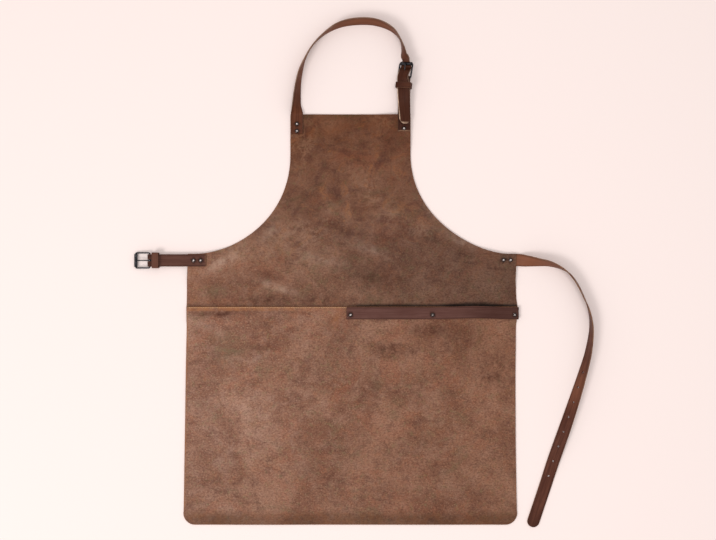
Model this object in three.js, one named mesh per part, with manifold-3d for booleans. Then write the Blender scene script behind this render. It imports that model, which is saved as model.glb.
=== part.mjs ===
// Leather work apron lying flat, in millimetres: +X to its right, +Y towards the bib, +Z up.
// The sheets and straps lie on the plane that the lowest faces share.
import * as THREE from 'three';
import { mergeVertices } from 'three/addons/utils/BufferGeometryUtils.js';
import Module from 'manifold-3d';

const wasm = await Module();
wasm.setup();

// Panels
const panelThickness = 1.8;
const bodyWidth = 672;
const skirtDrop = 447;
const waistRise = 108;
const bibRise = 393.5;
const bibWidth = 246;
const skirtCorner = 24;
const seamLap = 12;
const seamLevel = 24;
const seamRamp = 14;
const armholeTop = 312;
const armholeTail = 15;
const armholeDrop = 0.67;
const armholeSweepLeft = 0.39;
const armholeSweepRight = 0.31;

// Straps
const strapWidth = 25;
const strapThickness = 2.5;
const strapInset = 1;
const waistStrapInset = 12.8;
const waistStrapReach = 151.7;
const waistStrapDrop = 546.5;
const neckLoopRise = 190;
const holeDiameter = 4;
const holePitch = 32;
const holeFromTip = 110;
const holeCount = 8;
const tipRadius = 12;
const strapStep = 6;

// Rivets
const rivetCap = 8;
const rivetDome = 1.5;
const rivetPost = 1.5;
const rivetBack = 1;
const rivetPitch = 14.5;
const waistRivetInset = 12;
const waistStrapMargin = 10.5;
const neckRivetInset = 20;
const neckBuckleRivetInset = 15;
const neckStrapMargin = 5.5;

// Towel strip
const towelStripWidth = 25;
const towelStripEdge = 1;
const towelRivetPitch = 168;
const towelEndMargin = 8;
const towelRivetDrop = 3.5;

// Buckles and keepers
const buckleWidth = 34;
const buckleReach = 29;
const buckleBar = 1.6;
const buckleCorner = 2;
const rollerRadius = 3.5;
const rollerPlay = 0.5;
const rollerEndPlay = 3.6;
const prongRadius = 1.25;
const prongWall = 1.4;
const slotRadius = 7;
const neckBuckleRise = 73;
const neckBuckleRoll = 34;
const neckBuckleYaw = -9;
const waistBuckleReach = 78;
const waistBuckleDrop = 13.5;
const keeperSpan = 32;
const keeperWall = 1.8;
const waistKeeperWidth = 13;
const neckKeeperWidth = 12;
const waistKeeperPlace = 12.5;
const neckKeeperPlace = 16;
const keeperRoom = 4.5;
const keeperSpread = 3.0;
const tongueLength = 94;
const tongueGap = 0.9;

// Clearances
const gap = 0.3;
const holeGap = 0.3;

// Edge of the lower panel, from the seam down to its rounded corners
const skirtSides = [
  { drop: 0.0, left: -1.0, right: 1.019 },
  { drop: 0.1, left: -0.999, right: 1.009 },
  { drop: 0.3, left: -1.004, right: 1.006 },
  { drop: 0.6, left: -1.01, right: 1.007 },
  { drop: 0.85, left: -1.015, right: 1.012 },
  { drop: 1.0, left: -1.019, right: 1.016 },
];

// Edge of the upper panel, from its hidden end below the seam up to the waist corners
const waistSides = [
  { rise: 0.0, left: -1.0, right: 1.019 },
  { rise: 0.14, left: -0.998, right: 1.012 },
  { rise: 0.5, left: -0.996, right: 1.006 },
  { rise: 1.0, left: -0.989, right: 1.011 },
];

// Neck strap from the bib's left corner round to the buckle: shares of half its span and of its rise
const neckRoute = [
  { across: -0.998, rise: 0.03, lean: 28, lift: 0.8 },
  { across: -1.003, rise: 0.1, lean: 51, lift: 0.35 },
  { across: -0.994, rise: 0.2, lean: 60 },
  { across: -0.972, rise: 0.33, lean: 70 },
  { across: -0.927, rise: 0.458, lean: 78 },
  { across: -0.848, rise: 0.588, lean: 92 },
  { across: -0.727, rise: 0.717, lean: 98 },
  { across: -0.52, rise: 0.844, lean: 94 },
  { across: -0.22, rise: 0.943, lean: 84 },
  { across: 0.139, rise: 0.984, lean: 77 },
  { across: 0.5, rise: 0.97, lean: 79 },
  { across: 0.79, rise: 0.895, lean: 88 },
  { across: 0.925, rise: 0.8, lean: 94 },
  { across: 0.981, rise: 0.696, lean: 81 },
  { across: 1.0, rise: 0.62, lean: 66 },
];

// Neck strap through its buckle, from beyond the roller to the strap's tip, and how far it lies aside
const neckBuckleRoute = [
  { along: 1.35, under: 1.8, over: 0, lean: 52, aside: -6 },
  { along: 1.1, under: 1.4, over: 0, lean: 36, aside: -2.5 },
  { along: 0.95, under: 1.15, over: 0, lean: 34, aside: -1.5 },
  { along: 0.78, under: 0.5, over: 0, lean: 34, aside: -0.5 },
  { along: 0.5, under: 0, over: 0.65, lean: 34, aside: 0.8 },
  { along: 0.22, under: 0, over: 1.06, lean: 34, aside: 0.8 },
  { along: -0.05, under: 0, over: 1.14, lean: 33, aside: 0.5 },
];

// Free end of the neck strap over the folded strap, from the heel bar to its rounded tip
const tongueRoute = [
  { away: 0.12, lean: 26 },
  { away: 0.2, lean: 19 },
  { away: 0.28, lean: 12 },
  { away: 0.45, lean: -2 },
  { away: 0.65, lean: -15 },
  { away: 0.85, lean: -25 },
  { away: 1.0, lean: -28 },
];

// Waist strap from the panel's right edge to its tip: shares of its reach and of its drop
const waistRoute = [
  { across: 0.03, drop: 0.0, lean: 0, lift: 0.8 },
  { across: 0.12, drop: 0.003, lean: 26, lift: 0.3 },
  { across: 0.272, drop: 0.008, lean: 52 },
  { across: 0.442, drop: 0.0145, lean: 70 },
  { across: 0.618, drop: 0.034, lean: 90 },
  { across: 0.72, drop: 0.056, lean: 101 },
  { across: 0.807, drop: 0.0885, lean: 103 },
  { across: 0.901, drop: 0.141, lean: 102 },
  { across: 0.969, drop: 0.19, lean: 97 },
  { across: 0.999, drop: 0.25, lean: 87 },
  { across: 0.962, drop: 0.34, lean: 73 },
  { across: 0.891, drop: 0.416, lean: 62 },
  { across: 0.769, drop: 0.527, lean: 45 },
  { across: 0.636, drop: 0.64, lean: 27 },
  { across: 0.499, drop: 0.752, lean: 8 },
  { across: 0.41, drop: 0.83, lean: 0 },
  { across: 0.205, drop: 1.0, lean: 0 },
];

// Folded buckle straps: height and turn as shares of the buckle's own, spread as a share of the fold's
const waistFold = [
  { away: 0.0, height: 1, turn: 0, spread: 1 },
  { away: 0.09, height: 1, turn: 0, spread: 0.72 },
  { away: 0.26, height: 1, turn: 0, spread: 0.42 },
  { away: 0.6, height: 0.6, turn: 0, spread: 0.42 },
  { away: 0.85, height: 0.1, turn: 0, spread: 0.6 },
];
const neckFold = [
  { away: 0.0, height: 1, turn: 1, spread: 1 },
  { away: 0.1, height: 0.97, turn: 0.84, spread: 0.7 },
  { away: 0.22, height: 0.9, turn: 0.66, spread: 0.42 },
  { away: 0.45, height: 0.62, turn: 0.34, spread: 0.42 },
  { away: 0.7, height: 0.2, turn: 0.06, spread: 0.46 },
  { away: 0.88, height: 0.04, turn: 0, spread: 0.66 },
];

// Loops of the towel strip: how far each rises off the panel and bows towards the bib
const towelLoops = [
  { rise: 7, bow: 0.5 },
  { rise: 10, bow: 2.5 },
];

const palette = {
  panel: { color: 0x7a5443, roughness: 0.62, metalness: 0 },
  strap: { color: 0x5b3428, roughness: 0.5, metalness: 0 },
  metal: { color: 0x3b3b40, roughness: 0.32, metalness: 0.9 },
};

// Values that follow from the sizes above
const up = new THREE.Vector3(0, 0, 1);
const turn = THREE.MathUtils.degToRad;
const underStrap = rivetBack + gap;
const overStrap = underStrap + strapThickness + gap;
const frontStrap = underStrap + panelThickness + gap;
const seamStep = panelThickness + gap;
const bibSide = bibWidth / 2 - strapInset - strapWidth / 2;
const waistStrapY = waistRise - waistStrapInset;
const waistTop = waistSides[waistSides.length - 1];
const waistEdge = { left: waistTop.left * bodyWidth / 2, right: waistTop.right * bodyWidth / 2 };
const waistLap = waistRivetInset + rivetPitch + waistStrapMargin;
const neckLap = neckRivetInset + rivetPitch + neckStrapMargin;
const neckBuckleLap = neckBuckleRivetInset + rivetPitch + neckStrapMargin;
const foldRadius = buckleBar + gap + strapThickness / 2;
const foldOuter = foldRadius + strapThickness / 2;
const panelSpread = (strapThickness + panelThickness) / 2 + gap;
const sandwichHeight = overStrap + panelThickness / 2;

function orientedGeometry(points, faces) {
  const cross = new THREE.Vector3();
  const volume = faces.reduce((sum, [a, b, c]) => sum + points[a].dot(cross.crossVectors(points[b], points[c])), 0);
  const outward = volume < 0 ? faces.map(([a, b, c]) => [a, c, b]) : faces;
  return new THREE.BufferGeometry().setFromPoints(points).setIndex(outward.flat());
}

function welded(source) {
  source.deleteAttribute('normal');
  source.deleteAttribute('uv');
  const merged = mergeVertices(source, 1e-3);
  const place = merged.getAttribute('position');
  const points = Array.from({ length: place.count }, (_, i) => new THREE.Vector3().fromBufferAttribute(place, i));
  const index = Array.from(merged.getIndex().array);
  const faces = Array.from({ length: index.length / 3 }, (_, i) => index.slice(3 * i, 3 * i + 3));
  return orientedGeometry(points, faces.filter(([a, b, c]) => a !== b && b !== c && c !== a));
}

function solidOf(geometry) {
  const vertProperties = new Float32Array(geometry.getAttribute('position').array);
  const triVerts = new Uint32Array(geometry.getIndex().array);
  return new wasm.Manifold(new wasm.Mesh({ numProp: 3, vertProperties, triVerts }));
}

function geometryOf(solid) {
  const { vertProperties, triVerts } = solid.getMesh();
  const geometry = new THREE.BufferGeometry();
  geometry.setAttribute('position', new THREE.BufferAttribute(new Float32Array(vertProperties), 3));
  geometry.setIndex(new THREE.BufferAttribute(new Uint32Array(triVerts), 1));
  return geometry;
}

function cutFrom(geometry, cutters) {
  return geometryOf(cutters.reduce((solid, cutter) => solid.subtract(solidOf(cutter)), solidOf(geometry)));
}

// Skin over a row of equal rings, capped at both ends or joined round
function loft(rings, closed = false) {
  const sides = rings[0].length;
  const faces = [];
  for (let i = 0; i < (closed ? rings.length : rings.length - 1); i += 1) {
    const here = i * sides;
    const next = ((i + 1) % rings.length) * sides;
    for (let j = 0; j < sides; j += 1) {
      const k = (j + 1) % sides;
      faces.push([here + j, here + k, next + k], [here + j, next + k, next + j]);
    }
  }
  if (!closed) {
    const last = (rings.length - 1) * sides;
    for (let j = 1; j < sides - 1; j += 1) {
      faces.push([0, j + 1, j], [last, last + j, last + j + 1]);
    }
  }
  return orientedGeometry(rings.flat(), faces);
}

// Round solid about Z from a profile of radius and height
function spun(profile, sides = 16) {
  const geometry = new THREE.LatheGeometry(profile.map(([radius, height]) => new THREE.Vector2(radius, height)), sides);
  return welded(geometry.rotateX(Math.PI / 2));
}

function drum(radius, low, high, sides = 16) {
  return spun([[0, low], [radius, low], [radius, high], [0, high]], sides);
}

function drillAt(x, y, low, high) {
  return drum(rivetPost + holeGap, low, high, 12).translate(x, y, 0);
}

// Strap skin: each station has its centre, its direction across, its outward face and its width
function ribbon(stations) {
  const half = strapThickness / 2;
  return loft(stations.map(({ centre, side, face, width }) => [[-1, -1], [1, -1], [1, 1], [-1, 1]].map(
    ([s, f]) => centre.clone().addScaledVector(side, s * width / 2).addScaledVector(face, f * half),
  )));
}

// A leaning strap lies on its lowest edge, lift above the ground plane
function strapTrack(rows, width) {
  const route = new THREE.CatmullRomCurve3(rows.map(({ x, y, lift }) => new THREE.Vector3(x, y, lift)));
  const leans = new THREE.CatmullRomCurve3(rows.map(({ lean }, i) => new THREE.Vector3(i * 20, lean, 0)));
  route.arcLengthDivisions = rows.length * 20;
  const length = route.getLength();

  function stationAt(distance) {
    const t = route.getUtoTmapping(distance / length);
    const along = route.getTangent(t);
    const lean = turn(leans.getPoint(t).y);
    const side = new THREE.Vector3(-along.y, along.x, 0).normalize().multiplyScalar(Math.cos(lean));
    side.addScaledVector(up, Math.sin(lean));
    side.addScaledVector(along, -side.dot(along)).normalize();
    const face = new THREE.Vector3().crossVectors(along, side);
    const centre = route.getPoint(t);
    centre.z = Math.max(centre.z, 0);
    centre.z += Math.abs(side.z) * width / 2 + Math.abs(face.z) * strapThickness / 2;
    return { centre, side, face, width };
  }

  function plainStations(end = length) {
    const count = Math.ceil(end / strapStep);
    return Array.from({ length: count + 1 }, (_, i) => stationAt(end * i / count));
  }

  function stations() {
    const tip = [0.72, 0.45, 0.22, 0.06].map((share) => {
      const narrowed = width - 2 * tipRadius * (1 - Math.sqrt(1 - (1 - share) ** 2));
      return { ...stationAt(length - tipRadius * share), width: narrowed };
    });
    return [...plainStations(length - tipRadius), ...tip];
  }

  return { length, stationAt, plainStations, stations };
}

function strapHole({ centre, face }) {
  const hole = drum(holeDiameter / 2, -strapThickness, strapThickness, 10);
  return hole.applyQuaternion(new THREE.Quaternion().setFromUnitVectors(up, face)).translate(...centre.toArray());
}

// Panels: straight rows between two edges, with columns closer at the edges, lifted by heightAt
function panelSheet(rows, columns, heightAt) {
  const wide = columns + 1;
  const crowding = columns > 1 ? 0.55 : 0;
  const share = (j) => j / columns - crowding * Math.sin(2 * Math.PI * j / columns) / (2 * Math.PI);
  const layer = rows.length * wide;
  const points = [0, panelThickness].flatMap((rise) => rows.flatMap(({ left, right }) => (
    Array.from({ length: wide }, (_, j) => {
      const spot = left.clone().lerp(right, share(j));
      return new THREE.Vector3(spot.x, spot.y, heightAt(spot.x, spot.y) + rise);
    }))));
  const faces = [];
  for (let i = 0; i < rows.length - 1; i += 1) {
    for (let j = 0; j < columns; j += 1) {
      const [a, b, c, d] = [i * wide + j, i * wide + j + 1, (i + 1) * wide + j + 1, (i + 1) * wide + j];
      faces.push([a, c, b], [a, d, c]);
      faces.push([layer + a, layer + b, layer + c], [layer + a, layer + c, layer + d]);
    }
  }
  const low = Array.from({ length: columns }, (_, j) => j);
  const right = Array.from({ length: rows.length - 1 }, (_, i) => i * wide + columns);
  const high = low.map((j) => layer - 1 - j);
  const left = right.map((_, i) => (rows.length - 1 - i) * wide);
  const rim = [...low, ...right, ...high, ...left];
  rim.forEach((a, i) => {
    const b = rim[(i + 1) % rim.length];
    faces.push([a, b, layer + b], [a, layer + b, layer + a]);
  });
  return orientedGeometry(points, faces);
}

function sideAt(table, key, share) {
  const next = Math.max(1, table.findIndex((row) => row[key] >= share));
  const [a, b] = [table[next - 1], table[next]];
  const blend = (share - a[key]) / (b[key] - a[key]);
  const half = bodyWidth / 2;
  return {
    left: half * THREE.MathUtils.lerp(a.left, b.left, blend),
    right: half * THREE.MathUtils.lerp(a.right, b.right, blend),
  };
}

function straightRow(left, right, y) {
  return { left: new THREE.Vector2(left, y), right: new THREE.Vector2(right, y) };
}

function lowerPanel() {
  const rows = [];
  const cornerSteps = 8;
  const corner = sideAt(skirtSides, 'drop', 1);
  for (let i = 0; i <= cornerSteps; i += 1) {
    const angle = (Math.PI / 2) * (i / cornerSteps);
    const inward = skirtCorner * (1 - Math.sin(angle));
    const y = -skirtDrop + skirtCorner * (1 - Math.cos(angle));
    rows.push(straightRow(corner.left + inward, corner.right - inward, y));
  }
  const straight = skirtDrop - skirtCorner;
  const levels = [0.85, 0.6, 0.3, 0.1].map((share) => -share * skirtDrop).filter((y) => y > -straight);
  const rampRows = [0, 0.25, 0.5, 0.75, 1].map((share) => -seamLevel - seamRamp * (1 - share));
  const heights = [...levels, ...rampRows, 0].sort((a, b) => a - b);
  heights.forEach((y) => {
    const side = sideAt(skirtSides, 'drop', -y / skirtDrop);
    rows.push(straightRow(side.left, side.right, y));
  });
  const heightAt = (x, y) => seamStep * THREE.MathUtils.smoothstep(y, -seamLevel - seamRamp, -seamLevel);
  return panelSheet(rows, 1, heightAt);
}

// Places where the upper panel rides over a strap or a rivet's back
function panelPads() {
  const waistLow = waistStrapY - strapWidth / 2;
  const pad = (left, right, low, high, height) => ({ left, right, low, high, height });
  return [
    pad(-bodyWidth, waistEdge.left + waistLap, waistLow, waistRise, overStrap),
    pad(waistEdge.right - waistLap, bodyWidth, waistLow, waistRise, overStrap),
    pad(bibSide - strapWidth / 2, bibWidth, bibRise - neckBuckleLap, bibRise, overStrap),
    pad(-bibWidth, -bibSide + strapWidth / 2, bibRise - neckLap, bibRise, underStrap),
  ];
}

function padHeight(x, y) {
  const margin = 12;
  const ramp = 40;
  return Math.max(...panelPads().map(({ left, right, low, high, height }) => {
    const apart = Math.hypot(Math.max(left - x, 0, x - right), Math.max(low - y, 0, y - high));
    return height * (1 - THREE.MathUtils.smoothstep(apart, margin, margin + ramp));
  }));
}

function upperPanel() {
  const rows = [straightRow(waistSides[0].left * bodyWidth / 2, waistSides[0].right * bodyWidth / 2, -seamLap)];
  const waistRows = 9;
  for (let i = 0; i < waistRows; i += 1) {
    const side = sideAt(waistSides, 'rise', i / (waistRows - 1));
    rows.push(straightRow(side.left, side.right, waistRise * i / (waistRows - 1)));
  }
  const drop = armholeTop - waistRise;
  const armhole = (edge, sweepShare) => {
    const side = Math.sign(edge) * bibWidth / 2;
    const tail = edge - Math.sign(edge) * armholeTail;
    return new THREE.CubicBezierCurve(
      new THREE.Vector2(tail, waistRise),
      new THREE.Vector2(tail - (tail - side) * sweepShare, waistRise),
      new THREE.Vector2(side, armholeTop - drop * armholeDrop),
      new THREE.Vector2(side, armholeTop),
    );
  };
  const [left, right] = [armhole(waistEdge.left, armholeSweepLeft), armhole(waistEdge.right, armholeSweepRight)];
  const armholeRows = 16;
  for (let i = 1; i <= armholeRows; i += 1) {
    rows.push({ left: left.getPoint(i / armholeRows), right: right.getPoint(i / armholeRows) });
  }
  const bibRows = 8;
  for (let i = 1; i <= bibRows; i += 1) {
    rows.push(straightRow(-bibWidth / 2, bibWidth / 2, armholeTop + (bibRise - armholeTop) * i / bibRows));
  }
  return panelSheet(rows, 28, padHeight);
}

function rivet(back, front) {
  const cap = rivetCap / 2;
  return spun([
    [0, back - rivetBack], [cap, back - rivetBack], [cap, back], [rivetPost, back], [rivetPost, front],
    [cap, front], [cap * 0.8, front + rivetDome * 0.75], [0, front + rivetDome],
  ], 12);
}

// Folded strap in its own frame: the heel bar above the origin, the strap running towards -Y
function foldSpine({ table, reach, lap, heel, roll, yaw }) {
  const settle = 4;
  const rows = [
    ...table.map((row) => ({ ...row, away: row.away * reach, spread: row.spread * foldRadius })),
    { away: reach - settle, height: 0, turn: 0, spread: panelSpread },
    { away: reach + lap, height: 0, turn: 0, spread: panelSpread },
  ];
  return (away) => {
    const next = Math.max(1, rows.findIndex((row) => row.away >= away - 1e-6));
    const [a, b] = [rows[next - 1], rows[next]];
    const mix = (key) => THREE.MathUtils.mapLinear(away, a.away, b.away, a[key], b[key]);
    const facing = new THREE.Euler(0, -turn(roll) * mix('turn'), turn(yaw) * mix('turn'), 'ZYX');
    return {
      centre: new THREE.Vector3(0, -away, THREE.MathUtils.lerp(sandwichHeight, heel, mix('height'))),
      side: new THREE.Vector3(1, 0, 0).applyEuler(facing),
      face: new THREE.Vector3(0, 0, 1).applyEuler(facing),
      roll: roll * mix('turn'),
      spread: mix('spread'),
    };
  };
}

function foldedStrap(spine, total) {
  const width = strapWidth;
  const count = Math.ceil(total / strapStep);
  const distances = Array.from({ length: count + 1 }, (_, i) => total * i / count);
  const layer = (sign, places) => places.map((away) => {
    const { centre, side, face, spread } = spine(away);
    return { centre: centre.addScaledVector(face, sign * spread), side, face: face.multiplyScalar(sign), width };
  });
  const heel = spine(0);
  const forward = new THREE.Vector3().crossVectors(heel.face, heel.side);
  const bendSteps = 8;
  const bend = Array.from({ length: bendSteps - 1 }, (_, i) => {
    const angle = Math.PI * ((i + 1) / bendSteps - 0.5);
    const face = forward.clone().multiplyScalar(Math.cos(angle)).addScaledVector(heel.face, Math.sin(angle));
    return { centre: heel.centre.clone().addScaledVector(face, foldRadius), side: heel.side, face, width };
  });
  return ribbon([...layer(-1, [...distances].reverse()), ...bend, ...layer(1, distances)]);
}

// Rounded rectangle as points with their outward directions
function ringPath(halfWidth, halfHeight, corner, steps = 3) {
  const corners = [[1, 1, 0], [-1, 1, 1], [-1, -1, 2], [1, -1, 3]];
  return corners.flatMap(([sx, sy, quarter]) => Array.from({ length: steps + 1 }, (_, i) => {
    const angle = (Math.PI / 2) * (quarter + i / steps);
    const out = new THREE.Vector2(Math.cos(angle), Math.sin(angle));
    const point = new THREE.Vector2(sx * (halfWidth - corner), sy * (halfHeight - corner)).addScaledVector(out, corner);
    return { point, out };
  }));
}

// Buckle pieces in the buckle's frame: heel bar along X through the origin, roller towards +Y
function buckleFrame() {
  const sides = 8;
  const path = ringPath(buckleWidth / 2 - buckleBar, buckleReach / 2, buckleCorner);
  const rings = path.map(({ point, out }) => Array.from({ length: sides }, (_, i) => {
    const angle = 2 * Math.PI * (i + 0.5) / sides;
    const reach = buckleBar * Math.cos(angle);
    const x = point.x + out.x * reach;
    return new THREE.Vector3(x, point.y + out.y * reach + buckleReach / 2, buckleBar * Math.sin(angle));
  }));
  return loft(rings, true);
}

function buckleRoller() {
  const bore = buckleBar + rollerPlay;
  const half = (buckleWidth - 2 * rollerEndPlay) / 2;
  const wall = spun([[bore, -half], [rollerRadius, -half], [rollerRadius, half], [bore, half], [bore, -half]], 20);
  return wall.rotateY(Math.PI / 2).translate(0, buckleReach, 0);
}

function prongRod(radius) {
  const root = buckleBar + gap + prongWall / 2;
  const span = buckleReach - root;
  const rise = Math.asin((rollerRadius + gap + prongRadius) / span);
  const past = 1.5;
  const length = span * Math.cos(rise) + past;
  return drum(radius, 0, length, 8).rotateX(rise - Math.PI / 2).translate(0, root, 0);
}

function prongHub(inner, outer, half) {
  const hub = spun([[inner, -half], [outer, -half], [outer, half], [inner, half], [inner, -half]]);
  return hub.rotateY(Math.PI / 2);
}

function buckleProng() {
  const hub = prongHub(buckleBar + gap, buckleBar + gap + prongWall, prongRadius + 0.4);
  return geometryOf(solidOf(hub).add(solidOf(prongRod(prongRadius))));
}

function prongSlot() {
  const half = prongRadius + 0.4 + gap;
  return drum(slotRadius, -half, half, 20).rotateY(Math.PI / 2);
}

// Keeper loop round a folded strap at one place of its spine
function keeperLoop({ centre, side, face }, width) {
  const along = new THREE.Vector3().crossVectors(side, face);
  const grip = keeperSpread + strapThickness / 2 + gap;
  const half = grip + keeperRoom / 2 + keeperWall / 2;
  const middle = centre.clone().addScaledVector(face, keeperRoom / 2);
  const place = (out, point, way, depth) => middle.clone()
    .addScaledVector(side, point.x + out.x * way).addScaledVector(face, point.y + out.y * way)
    .addScaledVector(along, depth);
  const corners = [[-1, -1], [1, -1], [1, 1], [-1, 1]];
  const path = ringPath((keeperSpan - keeperWall) / 2, half, 2.5);
  return loft(path.map(({ point, out }) => corners.map(
    ([way, depth]) => place(out, point, way * keeperWall / 2, depth * width / 2),
  )), true);
}

function piece(name, geometry, { color, roughness, metalness }) {
  const skin = geometry.clone();
  skin.computeVertexNormals();
  const mesh = new THREE.Mesh(skin, new THREE.MeshStandardMaterial({ color, roughness, metalness }));
  mesh.name = name;
  return mesh;
}

function group(pieces, position = [0, 0, 0], rotation = [0, 0, 0]) {
  const holder = new THREE.Group();
  holder.position.set(...position);
  holder.rotation.set(...rotation, 'ZYX');
  holder.add(...pieces);
  return holder;
}

function buckleSet(name, heel, rotation) {
  return group([
    piece(`${name}_buckle_frame`, buckleFrame(), palette.metal),
    piece(`${name}_roller`, buckleRoller(), palette.metal),
    piece(`${name}_prong`, buckleProng(), palette.metal),
  ], [0, 0, heel], rotation);
}

// Everything that hangs on one folded strap, in the strap's own frame
function buckleEnd({ name, spine, heel, rotation, total, rivets, keeperPlace, keeperWidth }) {
  const turnedSlot = prongSlot().applyMatrix4(new THREE.Matrix4().makeRotationFromEuler(
    new THREE.Euler(...rotation, 'ZYX'),
  )).translate(0, 0, heel);
  const drills = rivets.map((away) => drillAt(0, -away, -1, 2 * sandwichHeight + rivetCap));
  const strap = cutFrom(foldedStrap(spine, total), [turnedSlot, ...drills]);
  const front = sandwichHeight + panelSpread + strapThickness / 2 + gap;
  return [
    piece(`${name}_buckle_strap`, strap, palette.strap),
    piece(`${name}_keeper`, keeperLoop(spine(keeperPlace), keeperWidth), palette.strap),
    ...rivets.map((away, i) => (
      piece(`${name}_buckle_rivet_${i + 1}`, rivet(rivetBack, front).translate(0, -away, 0), palette.metal))),
    buckleSet(name, heel, rotation),
  ];
}

// Waist buckle end at the left corner
const waistHeel = keeperWall + gap + strapThickness / 2 + keeperSpread;
const waistPitch = -Math.asin((waistHeel - rollerRadius) / buckleReach);
const waistTotal = waistBuckleReach + waistLap;
const waistBuckleY = waistRise - waistBuckleDrop;
const waistBuckleRivets = [0, 1].map((i) => waistBuckleReach + waistRivetInset + i * rivetPitch);
const waistSpine = foldSpine({
  table: waistFold, reach: waistBuckleReach, lap: waistLap, heel: waistHeel, roll: 0, yaw: 0,
});
const waistBuckle = group(buckleEnd({
  name: 'waist', spine: waistSpine, heel: waistHeel, rotation: [waistPitch, 0, 0], total: waistTotal,
  rivets: waistBuckleRivets, keeperPlace: waistKeeperPlace, keeperWidth: waistKeeperWidth,
}), [waistEdge.left - waistBuckleReach, waistBuckleY, 0], [0, 0, Math.PI / 2]);

// Neck buckle end at the bib's right corner, rolled and turned as the strap pulls it
const tilt = turn(neckBuckleRoll);
const rollerSeat = rollerRadius + gap + strapThickness / 2;
const foldSeat = foldOuter + gap + strapThickness / 2;
const neckHeel = rollerSeat * Math.cos(tilt) + (strapWidth / 2) * Math.sin(tilt) + strapThickness;
const neckTotal = neckBuckleRise + neckBuckleLap;
const neckBuckleRivets = [0, 1].map((i) => neckBuckleRise + neckBuckleRivetInset + i * rivetPitch);
const neckRotation = [0, -tilt, turn(neckBuckleYaw)];
const neckPlace = [bibSide, bibRise + neckBuckleRise, 0];
const neckSpine = foldSpine({
  table: neckFold, reach: neckBuckleRise, lap: neckBuckleLap, heel: neckHeel,
  roll: neckBuckleRoll, yaw: neckBuckleYaw,
});
const neckBuckle = group(buckleEnd({
  name: 'neck', spine: neckSpine, heel: neckHeel, rotation: neckRotation, total: neckTotal,
  rivets: neckBuckleRivets, keeperPlace: neckKeeperPlace, keeperWidth: neckKeeperWidth,
}), neckPlace);

// Neck strap: over the bib, round the loop, through the buckle and on over the folded strap
function restingLift(centre, lean) {
  const angle = turn(lean);
  return centre.z - Math.abs(Math.sin(angle)) * strapWidth / 2 - Math.cos(angle) * strapThickness / 2;
}

function neckRows() {
  const base = [neckLap, neckLap / 2, 1].map((back) => (
    { x: -bibSide, y: bibRise - back, lean: 0, lift: frontStrap }));
  const loop = neckRoute.map(({ across, rise, lean, lift = 0 }) => (
    { x: across * bibSide, y: bibRise + rise * neckLoopRise, lean, lift: lift * frontStrap }));
  const facing = new THREE.Euler(...neckRotation, 'ZYX');
  const heel = new THREE.Vector3(neckPlace[0], neckPlace[1], neckHeel);
  const buckle = neckBuckleRoute.map(({ along, under, over, lean, aside }) => {
    const height = over * foldSeat - under * rollerSeat;
    const centre = new THREE.Vector3(aside, along * buckleReach, height).applyEuler(facing).add(heel);
    return { x: centre.x, y: centre.y, lean, lift: Math.max(0, restingLift(centre, lean)) };
  });
  const tongue = tongueRoute.map(({ away, lean }) => {
    const spot = neckSpine(away * tongueLength);
    const twist = Math.abs(Math.sin(turn(lean - spot.roll))) * strapWidth / 2;
    const centre = spot.centre.addScaledVector(spot.face, spot.spread + strapThickness + gap + tongueGap + twist);
    centre.x += neckPlace[0] + (strapWidth / 2) * (1 - Math.cos(turn(lean - spot.roll)));
    return { x: centre.x, y: centre.y + neckPlace[1], lean, lift: restingLift(centre, lean) };
  });
  return [...base, ...loop, ...buckle, ...tongue];
}

const neckRivets = [0, 1].map((i) => [-bibSide, bibRise - neckRivetInset - i * rivetPitch]);
const neckTrack = strapTrack(neckRows(), strapWidth);
const neckTurn = new THREE.Matrix4().makeRotationFromEuler(new THREE.Euler(...neckRotation, 'ZYX'));
const prongCut = prongRod(prongRadius + gap).applyMatrix4(neckTurn).translate(neckPlace[0], neckPlace[1], neckHeel);
const neckStrap = cutFrom(ribbon(neckTrack.stations()), [
  prongCut, ...neckRivets.map(([x, y]) => drillAt(x, y, 0, frontStrap + rivetCap)),
]);

// Waist strap: riveted behind the right corner, standing on its edge round the bend, then flat
function waistRows() {
  const y = waistRise - waistStrapInset;
  const hidden = [waistLap, waistLap / 2, 1].map((back) => (
    { x: waistEdge.right - back, y, lean: 0, lift: underStrap }));
  return [...hidden, ...waistRoute.map(({ across, drop, lean, lift = 0 }) => (
    { x: waistEdge.right + across * waistStrapReach, y: y - drop * waistStrapDrop, lean, lift: lift * underStrap }))];
}

const waistRivets = [0, 1].map((i) => [
  waistEdge.right - waistRivetInset - i * rivetPitch, waistRise - waistStrapInset,
]);
const waistTrack = strapTrack(waistRows(), strapWidth);
const waistHoles = Array.from({ length: holeCount }, (_, i) => (
  strapHole(waistTrack.stationAt(waistTrack.length - holeFromTip - i * holePitch))));
const waistStrap = cutFrom(ribbon(waistTrack.stations()), [
  ...waistHoles, ...waistRivets.map(([x, y]) => drillAt(x, y, 0, overStrap)),
]);

// Towel strip: flat at its rivets, standing off the panel between them
const seamTop = seamStep + panelThickness + gap;
const towelY = -towelStripEdge - towelStripWidth / 2;
const towelRivets = [0, 1, 2].map((i) => [i * towelRivetPitch, towelY - towelRivetDrop]);

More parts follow.
